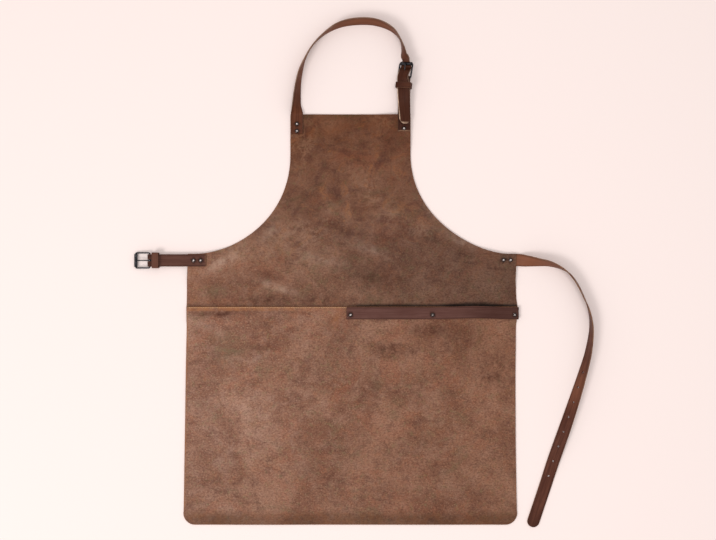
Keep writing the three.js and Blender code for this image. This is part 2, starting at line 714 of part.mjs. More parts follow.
function towelRows() {
  const flat = rivetCap;
  const rows = [{ x: -towelEndMargin, y: towelY, lean: 0, lift: seamTop }];
  towelLoops.forEach(({ rise, bow }, i) => {
    const start = i * towelRivetPitch;
    rows.push({ x: start + flat, y: towelY, lean: 0, lift: seamTop });
    [0.15, 0.3, 0.5, 0.7, 0.85].forEach((share) => {
      const swell = Math.sin(Math.PI * share) ** 2;
      const x = start + flat + share * (towelRivetPitch - 2 * flat);
      rows.push({ x, y: towelY + bow * swell, lean: 0, lift: seamTop + rise * swell });
    });
    rows.push({ x: start + towelRivetPitch - flat, y: towelY, lean: 0, lift: seamTop });
  });
  rows.push({ x: 2 * towelRivetPitch + towelEndMargin, y: towelY, lean: 0, lift: seamTop });
  return rows;
}

const towelDrills = towelRivets.map(([x, y]) => drillAt(x, y, -1, seamTop + rivetCap));
const towelStrip = cutFrom(ribbon(strapTrack(towelRows(), towelStripWidth).plainStations()), towelDrills);
const towelFront = seamTop + strapThickness + gap;

// Panels with their rivet holes
const buckleHoles = [
  ...waistBuckleRivets.map((away) => [waistEdge.left - waistBuckleReach + away, waistBuckleY]),
  ...neckBuckleRivets.map((away) => [neckPlace[0], neckPlace[1] - away]),
];
const upperHoles = [...buckleHoles, ...neckRivets, ...waistRivets];
const upperDrills = upperHoles.map(([x, y]) => drillAt(x, y, -1, 2 * sandwichHeight));

function rivetRow(name, places, back, front) {
  return places.map(([x, y], i) => (
    piece(`${name}_${i + 1}`, rivet(back, front).translate(x, y, 0), palette.metal)));
}

const apron = group([
  piece('upper_panel', cutFrom(upperPanel(), upperDrills), palette.panel),
  piece('lower_panel', cutFrom(lowerPanel(), towelDrills), palette.panel),
  piece('towel_strip', towelStrip, palette.strap),
  ...rivetRow('towel_rivet', towelRivets, seamStep - gap, towelFront),
  piece('neck_strap', neckStrap, palette.strap),
  ...rivetRow('neck_rivet', neckRivets, rivetBack, frontStrap + strapThickness + gap),
  piece('waist_strap', waistStrap, palette.strap),
  ...rivetRow('waist_rivet', waistRivets, rivetBack, overStrap + panelThickness + gap),
  neckBuckle,
  waistBuckle,
]);

// The origin is the middle of the underside
const extent = new THREE.Box3().setFromObject(apron, true);
const middle = extent.getCenter(new THREE.Vector3());
apron.position.set(-middle.x, -middle.y, -extent.min.z);

export default apron;
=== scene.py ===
"""Leather work apron lying flat: the finished look of every piece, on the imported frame.

Lengths are in millimetres until a mesh is made. X and Y are measured from the middle of the seam.
"""
import math
import random

import bmesh
import bpy
import numpy as np
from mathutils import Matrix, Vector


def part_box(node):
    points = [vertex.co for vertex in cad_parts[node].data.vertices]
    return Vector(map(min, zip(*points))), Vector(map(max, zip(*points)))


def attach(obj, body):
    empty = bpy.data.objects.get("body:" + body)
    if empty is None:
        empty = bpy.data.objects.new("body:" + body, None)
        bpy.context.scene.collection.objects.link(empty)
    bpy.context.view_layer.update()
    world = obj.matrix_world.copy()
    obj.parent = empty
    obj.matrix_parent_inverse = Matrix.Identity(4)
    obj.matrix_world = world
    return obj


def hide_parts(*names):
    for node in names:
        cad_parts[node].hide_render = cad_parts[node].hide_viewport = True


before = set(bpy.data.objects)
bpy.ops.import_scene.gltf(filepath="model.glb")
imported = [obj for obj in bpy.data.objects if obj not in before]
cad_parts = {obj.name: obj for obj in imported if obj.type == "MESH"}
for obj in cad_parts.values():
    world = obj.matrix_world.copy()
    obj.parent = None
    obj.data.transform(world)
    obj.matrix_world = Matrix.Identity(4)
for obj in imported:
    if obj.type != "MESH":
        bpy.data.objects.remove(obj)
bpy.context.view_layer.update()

MM = 0.001

# Panels
PANEL_THICKNESS = 1.8
BODY_HALF = 336
SKIRT_DROP = 447
WAIST_RISE = 108
BIB_RISE = 393.5
BIB_HALF = 123
SKIRT_CORNER = 24
SEAM_LAP = 12
SEAM_LEVEL = 24
SEAM_RAMP = 14
SEAM_BEAD = 8
STITCH_INSET = 2.2
ARMHOLE_TOP = 312
ARMHOLE_TAIL = 15
ARMHOLE_DROP = 0.67
ARMHOLE_SWEEP_LEFT = 0.39
ARMHOLE_SWEEP_RIGHT = 0.31
EDGE_ROUND = 1.2
RIPPLE_RISE = 1.5
RIVET_SHADE_RING = (4.8, 7.2)
DARK_RIM = (10.3, 11.9)
PANEL_COLUMNS = 150

# Straps
STRAP_WIDTH = 25
STRAP_THICKNESS = 2.5
STRAP_CORNER = 0.6
STRAP_STEP = 3
STRAP_INSET = 1
TIP_RADIUS = 12
NARROWEST_SECTION = 5.5
WAIST_STRAP_INSET = 12.8
WAIST_STRAP_REACH = 151.7
WAIST_STRAP_DROP = 546.5
NECK_LOOP_RISE = 190
HOLE_RADIUS = 2
HOLE_PITCH = 32
HOLE_FROM_TIP = 110
HOLE_COUNT = 8

# Rivets
RIVET_CAP = 4
RIVET_DOME = 1.5
RIVET_POST = 1.5
RIVET_BACK = 1
RIVET_PITCH = 14.5
WAIST_RIVET_INSET = 12
WAIST_STRAP_MARGIN = 10.5
NECK_RIVET_INSET = 20
NECK_BUCKLE_RIVET_INSET = 15
NECK_STRAP_MARGIN = 5.5

# Towel strip
TOWEL_EDGE = 1
TOWEL_RIVET_PITCH = 168
TOWEL_END_MARGIN = 8
TOWEL_RIVET_DROP = 3.5

# Buckles and keepers
BUCKLE_WIDTH = 34
BUCKLE_REACH = 29
BUCKLE_BAR = 1.6
BUCKLE_CORNER = 2.6
ROLLER_RADIUS = 3.5
ROLLER_PLAY = 0.5
ROLLER_END_PLAY = 3.6
PRONG_RADIUS = 1.25
PRONG_WALL = 1.4
PRONG_PLAY = 0.4
SLOT_RADIUS = 7
NECK_BUCKLE_RISE = 73
NECK_BUCKLE_ROLL = 34
NECK_BUCKLE_YAW = -9
WAIST_BUCKLE_REACH = 78
WAIST_BUCKLE_DROP = 13.5
KEEPER_SPAN = 32
KEEPER_WALL = 1.8
KEEPER_ROOM = 4.5
KEEPER_SPREAD = 3.0
KEEPER_BEND = 2.5
KEEPER_CORNER = 0.45
WAIST_KEEPER_WIDTH = 13
WAIST_KEEPER_PLACE = 12.5
NECK_KEEPER_WIDTH = 12
NECK_KEEPER_PLACE = 16
TONGUE_LENGTH = 94
TONGUE_GAP = 0.9
GAP = 0.3

# Edges of the panels: shares of the drop or the rise, and of half the body's width
SKIRT_SIDES = {
    "share": [0.0, 0.1, 0.3, 0.6, 0.85, 1.0],
    "left": [-1.0, -0.999, -1.004, -1.01, -1.015, -1.019],
    "right": [1.019, 1.009, 1.006, 1.007, 1.012, 1.016],
}
WAIST_SIDES = {
    "share": [0.0, 0.14, 0.5, 1.0],
    "left": [-1.0, -0.998, -0.996, -0.989],
    "right": [1.019, 1.012, 1.006, 1.011],
}

# Neck strap round the loop: shares of half its span and of its rise, its lean and its lift
NECK_ROUTE = [
    (-0.998, 0.03, 28, 0.8), (-1.003, 0.1, 51, 0.35), (-0.994, 0.2, 60, 0), (-0.972, 0.33, 70, 0),
    (-0.927, 0.458, 78, 0), (-0.848, 0.588, 92, 0), (-0.727, 0.717, 98, 0), (-0.52, 0.844, 94, 0),
    (-0.22, 0.95, 78, 0), (0.139, 0.992, 70, 0), (0.5, 0.977, 72, 0), (0.79, 0.898, 84, 0),
    (0.925, 0.8, 94, 0), (0.981, 0.696, 81, 0), (1.0, 0.62, 66, 0),
]

# The same strap through its buckle: how far along it, under it and over it, its lean, and how far aside
NECK_BUCKLE_ROUTE = [
    (1.35, 1.8, 0, 64, -8.5), (1.1, 1.4, 0, 54, -7), (0.95, 1.2, 0, 45, -4.5), (0.78, 0.6, 0, 38, -2),
    (0.5, 0, 0.65, 34, 0.8), (0.22, 0, 1.06, 34, 0.8), (-0.05, 0, 1.14, 33, 0.5),
]

# Its free end over the folded strap: how far from the heel bar, and its lean
TONGUE_ROUTE = [(0.12, 26), (0.2, 19), (0.28, 12), (0.45, -2), (0.65, -15), (0.85, -25), (1.0, -28)]

# Waist strap from the panel's right edge to its tip: shares of its reach and drop, its lean and lift
WAIST_ROUTE = [
    (0.03, 0.0, 0, 0.8), (0.12, 0.003, 26, 0.3), (0.272, 0.008, 52, 0), (0.442, 0.0145, 70, 0),
    (0.618, 0.034, 90, 0), (0.72, 0.056, 101, 0), (0.807, 0.0885, 103, 0), (0.901, 0.141, 102, 0),
    (0.969, 0.19, 97, 0), (0.999, 0.25, 87, 0), (0.962, 0.34, 73, 0), (0.891, 0.416, 62, 0),
    (0.769, 0.527, 45, 0), (0.636, 0.64, 27, 0), (0.499, 0.752, 8, 0), (0.41, 0.83, 0, 0),
    (0.205, 1.0, 0, 0),
]

# What each kind of mark does to the leather's colour
MARK_SHADES = {"stain": (70, 35, 22), "rust": (156, 99, 62), "ash": (104, 88, 64), "pale": (206, 172, 152)}

# Folded buckle straps: distance from the bar, height, turn and spread as shares
WAIST_FOLD = {
    "away": [0.0, 0.09, 0.26, 0.6, 0.85],
    "height": [1, 1, 1, 0.6, 0.1],
    "turn": [0, 0, 0, 0, 0],
    "spread": [1, 0.72, 0.42, 0.42, 0.6],
}
NECK_FOLD = {
    "away": [0.0, 0.1, 0.22, 0.45, 0.7, 0.88],
    "height": [1, 0.97, 0.9, 0.62, 0.2, 0.04],
    "turn": [1, 0.84, 0.66, 0.34, 0.06, 0],
    "spread": [1, 0.7, 0.42, 0.42, 0.46, 0.66],
}

# Loops of the towel strip: how far each rises off the panel and bows towards the bib
TOWEL_LOOPS = [(7, 0.5), (10, 2.5)]

# Values that follow
ALONG = np.array([1.0, 0.0, 0.0])
ACROSS = np.array([0.0, 1.0, 0.0])
UP = np.array([0.0, 0.0, 1.0])
UNDER_STRAP = RIVET_BACK + GAP
OVER_STRAP = UNDER_STRAP + STRAP_THICKNESS + GAP
FRONT_STRAP = UNDER_STRAP + PANEL_THICKNESS + GAP
SEAM_STEP = PANEL_THICKNESS + GAP
SEAM_TOP = SEAM_STEP + PANEL_THICKNESS + GAP
BIB_SIDE = BIB_HALF - STRAP_INSET - STRAP_WIDTH / 2
WAIST_LEFT = WAIST_SIDES["left"][-1] * BODY_HALF
WAIST_RIGHT = WAIST_SIDES["right"][-1] * BODY_HALF
WAIST_STRAP_Y = WAIST_RISE - WAIST_STRAP_INSET
WAIST_LAP = WAIST_RIVET_INSET + RIVET_PITCH + WAIST_STRAP_MARGIN
NECK_LAP = NECK_RIVET_INSET + RIVET_PITCH + NECK_STRAP_MARGIN
NECK_BUCKLE_LAP = NECK_BUCKLE_RIVET_INSET + RIVET_PITCH + NECK_STRAP_MARGIN
FOLD_RADIUS = BUCKLE_BAR + GAP + STRAP_THICKNESS / 2
PRONG_ROOT = BUCKLE_BAR + GAP + PRONG_WALL / 2
PRONG_RISE = math.asin((ROLLER_RADIUS + GAP + PRONG_RADIUS) / (BUCKLE_REACH - PRONG_ROOT))
PRONG_LENGTH = (BUCKLE_REACH - PRONG_ROOT) * math.cos(PRONG_RISE) + 1.5
PANEL_SPREAD = (STRAP_THICKNESS + PANEL_THICKNESS) / 2 + GAP
SANDWICH_HEIGHT = OVER_STRAP + PANEL_THICKNESS / 2
TOWEL_RIVETS = [(i * TOWEL_RIVET_PITCH, -TOWEL_EDGE - STRAP_WIDTH / 2 - TOWEL_RIVET_DROP) for i in range(3)]
WAIST_RIVETS = [(WAIST_RIGHT - WAIST_RIVET_INSET - i * RIVET_PITCH, WAIST_STRAP_Y) for i in range(2)]
NECK_RIVETS = [(-BIB_SIDE, BIB_RISE - NECK_RIVET_INSET - i * RIVET_PITCH) for i in range(2)]

skirt_low, skirt_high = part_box("lower_panel")
ORIGIN = np.array([
    skirt_low.x / MM - SKIRT_SIDES["left"][-1] * BODY_HALF,
    skirt_high.y / MM,
    0.0,
])


# Camera, floor and lights
CAMERA_HEIGHT = 2.1
VIEW_WIDTH = 1.468
VIEW_CENTRE = (-0.010, 0.0084)
FLOOR_REACH = 6
FLOOR_GAP = 0.0004


def srgb(red, green, blue):
    """The linear colour of three display values from 0 to 255."""
    shares = [c / 255 for c in (red, green, blue)]
    return tuple(v / 12.92 if v <= 0.04045 else ((v + 0.055) / 1.055) ** 2.4 for v in shares) + (1.0,)


def linked(name, data):
    """A new object in the scene."""
    made = bpy.data.objects.new(name, data)
    bpy.context.scene.collection.objects.link(made)
    return made


def set_camera():
    data = bpy.data.cameras.new("camera")
    data.sensor_fit = "HORIZONTAL"
    data.sensor_width = 36
    data.lens = 36 * CAMERA_HEIGHT / VIEW_WIDTH
    camera = linked("camera", data)
    camera.location = (*VIEW_CENTRE, CAMERA_HEIGHT)
    bpy.context.scene.camera = camera


def area_light(name, place, target, size, watts, colour):
    data = bpy.data.lights.new(name, "AREA")
    data.shape = "DISK"
    data.size = size
    data.energy = watts
    data.color = colour
    light = linked(name, data)
    light.location = place
    aim = np.array(target) - np.array(place)
    yaw = math.atan2(aim[1], aim[0])
    pitch = math.acos(-aim[2] / np.linalg.norm(aim))
    light.rotation_euler = (0, -pitch, yaw)


def set_lights():
    world = bpy.data.worlds.new("studio")
    world.use_nodes = True
    background = world.node_tree.nodes["Background"]
    background.inputs["Color"].default_value = (1.0, 0.985, 0.975, 1.0)
    background.inputs["Strength"].default_value = 0.65
    bpy.context.scene.world = world
    bpy.context.scene.view_settings.view_transform = "Standard"
    area_light("key", (-2.3, -2.0, 3.2), (0, 0, 0), 1.6, 68, (1.0, 0.98, 0.96))
    area_light("overhead", (0.4, 0.4, 3.0), (0.1, 0.1, 0), 0.8, 15.5, (1.0, 0.99, 0.98))


def set_floor():
    mesh = bpy.data.meshes.new("floor")
    corners = [(FLOOR_REACH * x, FLOOR_REACH * y, 0) for x, y in ((-1, -1), (1, -1), (1, 1), (-1, 1))]
    mesh.from_pydata(corners, [], [(0, 1, 2, 3)])
    floor = linked("floor", mesh)
    floor.location.z = -FLOOR_GAP
    paper = bpy.data.materials.new("pale_paper")
    paper.use_nodes = True
    shader = paper.node_tree.nodes["Principled BSDF"]
    shader.inputs["Base Color"].default_value = srgb(253, 237, 233)
    shader.inputs["Roughness"].default_value = 0.9
    shader.inputs["Specular IOR Level"].default_value = 0.1
    mesh.materials.append(paper)


set_camera()
set_lights()
set_floor()


# Materials
class Finish:
    """A material made of procedural nodes, put together step by step."""

    def __init__(self, name):
        self.material = bpy.data.materials.new(name)
        self.material.use_nodes = True
        self.tree = self.material.node_tree
        self.shader = self.tree.nodes["Principled BSDF"]
        self.place = self.node("ShaderNodeTexCoord").outputs["Object"]

    def feed(self, socket, value):
        if isinstance(value, bpy.types.NodeSocket):
            self.tree.links.new(value, socket)
        else:
            socket.default_value = value

    def node(self, kind, inputs=None, **settings):
        made = self.tree.nodes.new(kind)
        for key, value in settings.items():
            setattr(made, key, value)
        for key, value in (inputs or {}).items():
            self.feed(made.inputs[key], value)
        return made

    def noise(self, scale, detail=4.0, rough=0.55, bend=0.0, place=None):
        values = {"Scale": scale, "Detail": detail, "Roughness": rough, "Distortion": bend}
        return self.node("ShaderNodeTexNoise", {"Vector": place or self.place, **values}).outputs[0]

    def cells(self, scale, feature="F1", place=None):
        inputs = {"Vector": place or self.place, "Scale": scale}
        return self.node("ShaderNodeTexVoronoi", inputs, feature=feature).outputs["Distance"]

    def attribute(self, name):
        return self.node("ShaderNodeAttribute", attribute_name=name).outputs["Fac"]

    def spread(self, value, low, high, to_low=0.0, to_high=1.0):
        inputs = {"Value": value, "From Min": low, "From Max": high, "To Min": to_low, "To Max": to_high}
        return self.node("ShaderNodeMapRange", inputs, interpolation_type="SMOOTHSTEP").outputs["Result"]

    def maths(self, operation, a, b=0.0):
        return self.node("ShaderNodeMath", {0: a, 1: b}, operation=operation).outputs[0]

    def times(self, a, b):
        return self.maths("MULTIPLY", a, b)

    def mix(self, share, a, b, way="MIX"):
        inputs = {0: share, 6: a, 7: b}
        return self.node("ShaderNodeMix", inputs, data_type="RGBA", blend_type=way).outputs[2]

    def tint(self, colour, mask, share, shade):
        return self.mix(self.times(mask, share), colour, srgb(*shade))

    def scaled(self, source, scale):
        return self.node("ShaderNodeMapping", {"Vector": source, "Scale": scale}).outputs["Vector"]

    def stretched(self, name, scale):
        """Coordinates from a vector attribute, scaled on each axis."""
        return self.scaled(self.node("ShaderNodeAttribute", attribute_name=name).outputs["Vector"], scale)

    def wandering(self, strength, scale):
        """The object's own coordinates, pushed about by noise so that lines wander."""
        cloud = self.node("ShaderNodeTexNoise", {"Vector": self.place, "Scale": scale}).outputs["Color"]
        inputs = {0: cloud, 1: (strength, strength, strength), 2: self.place}
        return self.node("ShaderNodeVectorMath", inputs, operation="MULTIPLY_ADD").outputs["Vector"]

    def bump(self, height, distance, strength=1.0, normal=None):
        inputs = {"Height": height, "Distance": distance, "Strength": strength}
        if normal is not None:
            inputs["Normal"] = normal
        return self.node("ShaderNodeBump", inputs).outputs["Normal"]

    def finish(self, colour, roughness, normal=None):
        self.feed(self.shader.inputs["Base Color"], colour)
        self.feed(self.shader.inputs["Roughness"], roughness)
        if normal is not None:
            self.feed(self.shader.inputs["Normal"], normal)
        return self.material


def panel_leather():
    """Pull-up leather: clouds, rubbed patches of red and olive, fine speckle, veins and a pebbled grain."""
    f = Finish("panel_leather")
    other = f.stretched("other", (1, 1, 1))
    rolled = f.stretched("other", (0.8, 1.15, 1))
    depth = f.attribute("depth")
    plain = f.maths("SUBTRACT", 1.0, f.times(depth, 0.45))
    colour = f.mix(f.spread(f.noise(6, 6, 0.62, 0.7), 0.36, 0.64), srgb(121, 79, 60), srgb(153, 109, 87))
    layers = [
        (f.noise(24, 6, 0.65, 1.0), 0.42, 0.68, 1.0, 0.42, (166, 127, 108)),
        (f.noise(11, 6, 0.65, 1.4, other), 0.5, 0.68, 1.0, 0.4, (150, 88, 63)),
        (f.noise(15, 6, 0.66, 1.6, rolled), 0.52, 0.7, 1.0, 0.55, (116, 95, 70)),
        (f.noise(42, 6, 0.72, 0.6, rolled), 0.48, 0.66, 1.0, 0.52, (90, 53, 41)),
        (f.noise(85, 6, 0.74, 0.4, other), 0.5, 0.66, 1.0, 0.36, (160, 104, 74)),
        (f.noise(105, 6, 0.74, 0.4), 0.53, 0.68, 1.0, 0.5, (126, 110, 76)),
        (f.noise(19, 6, 0.68, 1.2, other), 0.5, 0.66, depth, 0.46, (88, 50, 46)),
        (f.noise(23, 6, 0.7, 1.4), 0.52, 0.68, depth, 0.6, (172, 114, 76)),
        (f.noise(260, 5, 0.8, 0.0, rolled), 0.46, 0.58, plain, 0.5, (76, 42, 32)),
        (f.noise(310, 5, 0.8, 0.0, other), 0.53, 0.64, plain, 0.46, (194, 152, 124)),
    ]
    for cloud, low, high, where, share, shade in layers:
        colour = f.tint(colour, f.times(f.spread(cloud, low, high), where), share, shade)
    ridge = f.maths("ABSOLUTE", f.maths("SUBTRACT", f.noise(17, 7, 0.72, 1.2, other), 0.5))
    wisps = f.times(f.spread(ridge, 0.0, 0.05, 1.0, 0.0), f.spread(f.noise(9, 3), 0.46, 0.62))
    colour = f.tint(colour, f.times(wisps, depth), 0.42, (186, 146, 122))
    ragged = f.spread(f.noise(70, 6, 0.74), 0.36, 0.64, 0.25, 1.35)
    for kind, shade in MARK_SHADES.items():
        colour = f.tint(colour, f.attribute(kind), ragged, shade)
    # The tone carries the painted shadow along the towel strip's top edge as well as lightness over the
    # panel.
    tone, cool = f.attribute("tone"), f.attribute("cool")
    green = f.times(tone, cool)
    cast = f.node("ShaderNodeCombineColor", {0: tone, 1: green, 2: f.times(green, cool)}).outputs[0]
    colour = f.mix(1.0, colour, cast, "MULTIPLY")
    colour = f.mix(f.attribute("edge"), colour, srgb(128, 84, 58))
    pebble = f.spread(f.cells(620), 0.0, 0.75, 1.0, 0.0)
    creases = f.spread(f.cells(75, "DISTANCE_TO_EDGE", f.wandering(0.02, 30)), 0.0, 0.09)
    normal = f.bump(f.noise(30, 4, 0.55), 0.0012, 0.4)
    normal = f.bump(creases, 0.00025, 0.3, normal)
    normal = f.bump(pebble, 0.0002, 0.4, normal)
    f.shader.inputs["Specular IOR Level"].default_value = 0.14
    return f.finish(colour, f.spread(f.noise(40, 4), 0.3, 0.7, 0.56, 0.72), normal)


def darker(colour, share):
    return tuple(share * c for c in colour[:3]) + (1.0,)


def strap_leather(name, dark, light, cut, streaks):
    """Smooth leather streaked along the strap, with a raw cut edge and a creased line inside it, lightened
    where light is painted and darkened for darker leather and painted shade.
    """
    f = Finish(name)
    dark, light, cut = (srgb(*shade) for shade in (dark, light, cut))
    along = f.stretched("track", (0.012, 0.22, 1))
    fibre = f.stretched("track", (0.05, 1.1, 1))
    grain_streaks = f.spread(f.noise(1, 5, 0.6, 0.8, along), 0.34, 0.68)
    colour = f.mix(f.times(grain_streaks, streaks), dark, light)
    mottle = f.spread(f.noise(55, 5, 0.62, 0.6), 0.36, 0.68)
    colour = f.mix(f.times(mottle, 0.42), colour, dark)
    fibres = f.spread(f.noise(1, 4, 0.6, 0.3, fibre), 0.4, 0.7)
    colour = f.mix(f.times(fibres, 0.22), colour, light)
    # Painted light: lighter where the strap's face turns towards the lamp.
    colour = f.mix(f.attribute("painted_light"), colour, srgb(176, 114, 82))
    # Darker leather and painted shade: the strap's rims and ends, rings round the rivets and the fold at the
    # heel bar.
    colour = f.mix(f.attribute("dusk"), colour, srgb(50, 23, 15))
    rub = f.spread(f.noise(38, 5, 0.7), 0.36, 0.64, 0.55, 1.15)
    edge = f.times(f.attribute("edge"), rub)
    core = f.spread(f.noise(240, 3, 0.6), 0.3, 0.7)
    raw = f.mix(core, cut, darker(cut, 0.62))
    colour = f.mix(edge, colour, raw)
    crease = f.attribute("crease")
    colour = f.mix(f.times(crease, 0.45), colour, darker(dark, 0.35))
    normal = f.bump(f.noise(45, 4, 0.6), 0.0008, 0.35)
    normal = f.bump(f.spread(f.cells(700), 0.0, 0.75, 1.0, 0.0), 0.00018, 0.35, normal)
    normal = f.bump(f.maths("SUBTRACT", 1.0, crease), 0.0004, 0.6, normal)
    roughness = f.spread(f.noise(60, 4), 0.3, 0.7, 0.42, 0.6)
    f.shader.inputs["Specular IOR Level"].default_value = 0.1
    return f.finish(colour, roughness, normal)


def dark_metal(name, dark, light, wear_low, wear_high, rough_low, rough_high):
    """Blackened metal, rubbed lighter in patches, with a painted glint where an attribute asks for one."""
    f = Finish(name)
    marked = f.spread(f.noise(260, 5, 0.65, 0.5), wear_low, wear_high)
    wear_and_glint = f.maths("MAXIMUM", marked, f.attribute("painted_glint"))
    colour = f.mix(wear_and_glint, dark, light)
    fine = f.noise(1, 3, 0.6, 0.0, f.scaled(f.place, (180, 2600, 900)))
    colour = f.mix(f.spread(fine, 0.56, 0.7, 0.0, 0.5), colour, light)
    f.shader.inputs["Metallic"].default_value = 1.0
    roughness = f.spread(f.noise(420, 4), 0.3, 0.7, rough_low, rough_high)
    return f.finish(colour, roughness, f.bump(fine, 0.00006, 0.5))


def seam_thread():
    f = Finish("seam_thread")
    inputs = {"Vector": f.place, "Scale": 900}
    twist = f.node("ShaderNodeTexWave", inputs, wave_type="BANDS", bands_direction="DIAGONAL").outputs["Fac"]
    colour = f.mix(twist, srgb(205, 158, 110), srgb(238, 198, 150))
    return f.finish(colour, 0.7, f.bump(twist, 0.0001, 0.6))


PANEL_LEATHER = panel_leather()
NECK_LEATHER = strap_leather("neck_strap_leather", (76, 38, 23), (118, 70, 48), (236, 200, 172), 0.6)
WAIST_LEATHER = strap_leather("waist_strap_leather", (72, 38, 28), (114, 70, 54), (138, 98, 74), 0.6)
NECK_BUCKLE_LEATHER = strap_leather("neck_buckle_leather", (56, 26, 16), (84, 46, 34), (190, 146, 116), 0.45)
BUCKLE_LEATHER = strap_leather("buckle_strap_leather", (80, 47, 38), (114, 78, 67), (150, 104, 80), 0.45)
TOWEL_LEATHER = strap_leather("towel_strip_leather", (86, 53, 46), (112, 77, 69), (112, 72, 56), 0.5)
BUCKLE_METAL = dark_metal(
    "gunmetal", (0.024, 0.023, 0.026, 1.0), (0.125, 0.122, 0.132, 1.0), 0.42, 0.74, 0.13, 0.28,
)
# Its light colour is also the painted glint at the middle of each cap.
RIVET_METAL = dark_metal(
    "rivet_metal", (0.035, 0.026, 0.024, 1.0), (0.6, 0.52, 0.5, 1.0), 0.6, 0.85, 0.22, 0.36,
)
THREAD = seam_thread()


# Mesh building
def smooth_between(value, low, high):
    t = np.clip((value - low) / (high - low), 0.0, 1.0)
    return t * t * (3.0 - 2.0 * t)


def unit(vector):
    return vector / np.linalg.norm(vector)


def rotation(x=0.0, y=0.0, z=0.0):
    """Turns by x, then y, then z, in radians."""
    cx, sx, cy, sy, cz, sz = (f(a) for a in (x, y, z) for f in (math.cos, math.sin))
    about_x = np.array([[1, 0, 0], [0, cx, -sx], [0, sx, cx]])
    about_y = np.array([[cy, 0, sy], [0, 1, 0], [-sy, 0, cy]])
    about_z = np.array([[cz, -sz, 0], [sz, cz, 0], [0, 0, 1]])
    return about_z @ about_y @ about_x


def closed_object(name, points, faces):
    """An object in the frame from points in millimetres, with its faces turned outwards."""
    mesh = bpy.data.meshes.new(name)
    mesh.from_pydata(((np.asarray(points) + ORIGIN) * MM).tolist(), [], faces)
    work = bmesh.new()
    work.from_mesh(mesh)
    bmesh.ops.recalc_face_normals(work, faces=work.faces)
    work.to_mesh(mesh)
    work.free()
    return linked(name, mesh)


def add_piece(name, points, faces, material, replaced, body="root", attributes=None):
    """A piece that rides on a body and stands for its CAD nodes."""
    obj = closed_object(name, points, faces)
    mesh = obj.data
    for key, values in (attributes or {}).items():
        values = np.asarray(values, np.float32)
        kind, field = ("FLOAT", "value") if values.ndim == 1 else ("FLOAT_VECTOR", "vector")
        mesh.attributes.new(key, kind, "POINT").data.foreach_set(field, values.ravel())
    mesh.shade_smooth()
    mesh.materials.append(material)
    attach(obj, body)
    if replaced:
        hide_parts(*replaced)
    return obj


def loft(count, sides, closed=False):
    """Faces of a skin over rings of equal size, capped at both ends or joined round."""
    faces = []
    for i in range(count if closed else count - 1):
        here, there = i * sides, ((i + 1) % count) * sides
        for j in range(sides):
            k = (j + 1) % sides
            faces.append((here + j, here + k, there + k, there + j))
    if not closed:
        faces.append(tuple(reversed(range(sides))))
        faces.append(tuple(range((count - 1) * sides, count * sides)))
    return faces


def catmull(points, t):
    """Centripetal Catmull-Rom curve through the points, with t from 0 to 1."""
    last = len(points) - 1
    place = last * min(max(t, 0.0), 1.0)
    index = min(int(place), last - 1)
    weight = place - index
    p1, p2 = points[index], points[index + 1]
    p0 = points[index - 1] if index > 0 else 2 * p1 - p2
    p3 = points[index + 2] if index + 2 <= last else 2 * p2 - p1
    d0, d1, d2 = (float(np.dot(b - a, b - a)) ** 0.25 for a, b in ((p0, p1), (p1, p2), (p2, p3)))
    d1 = d1 if d1 > 1e-4 else 1.0
    d0 = d0 if d0 > 1e-4 else d1
    d2 = d2 if d2 > 1e-4 else d1
    t1 = ((p1 - p0) / d0 - (p2 - p0) / (d0 + d1) + (p2 - p1) / d1) * d1
    t2 = ((p2 - p1) / d1 - (p3 - p1) / (d1 + d2) + (p3 - p2) / d2) * d1
    square = (-3 * p1 + 3 * p2 - 2 * t1 - t2) * weight**2
    cube = (2 * p1 - 2 * p2 + t1 + t2) * weight**3
    return p1 + t1 * weight + square + cube


class Track:
    """A strap's path through rows of x, y, lift and lean. A leaning strap stands on its lowest edge."""

    def __init__(self, rows):
        self.points = np.array([(x, y, lift) for x, y, lift, lean in rows], float)
        self.leans = np.array([(i * 20, row[3], 0) for i, row in enumerate(rows)], float)
        self.steps = np.linspace(0, 1, len(rows) * 20 + 1)
        places = np.array([catmull(self.points, t) for t in self.steps])
        spans = np.linalg.norm(np.diff(places, axis=0), axis=1)
        self.lengths = np.concatenate([[0], np.cumsum(spans)])
        self.length = self.lengths[-1]

    def station(self, distance, width=STRAP_WIDTH):
        t = float(np.interp(distance, self.lengths, self.steps))
        step = 1e-4
        ahead = catmull(self.points, min(1, t + step)) - catmull(self.points, max(0, t - step))
        along = unit(ahead)
        lean = math.radians(catmull(self.leans, t)[1])
        side = unit(np.array([-along[1], along[0], 0.0])) * math.cos(lean) + UP * math.sin(lean)
        side = unit(side - along * np.dot(side, along))
        face = np.cross(along, side)
        centre = catmull(self.points, t)
        centre[2] = max(centre[2], 0) + abs(side[2]) * STRAP_WIDTH / 2 + abs(face[2]) * STRAP_THICKNESS / 2
        return {"centre": centre, "side": side, "face": face, "width": width, "along": distance}

    def stations(self, round_tip=True):
        end = self.length - TIP_RADIUS if round_tip else self.length
        count = math.ceil(end / STRAP_STEP)
        made = [self.station(end * i / count) for i in range(count + 1)]
        if round_tip:
            for angle in np.radians([12, 24, 36, 48, 58, 67, 75, 82]):
                width = STRAP_WIDTH - 2 * TIP_RADIUS * (1 - math.cos(angle))
                made.append(self.station(end + TIP_RADIUS * math.sin(angle), width))
        return made


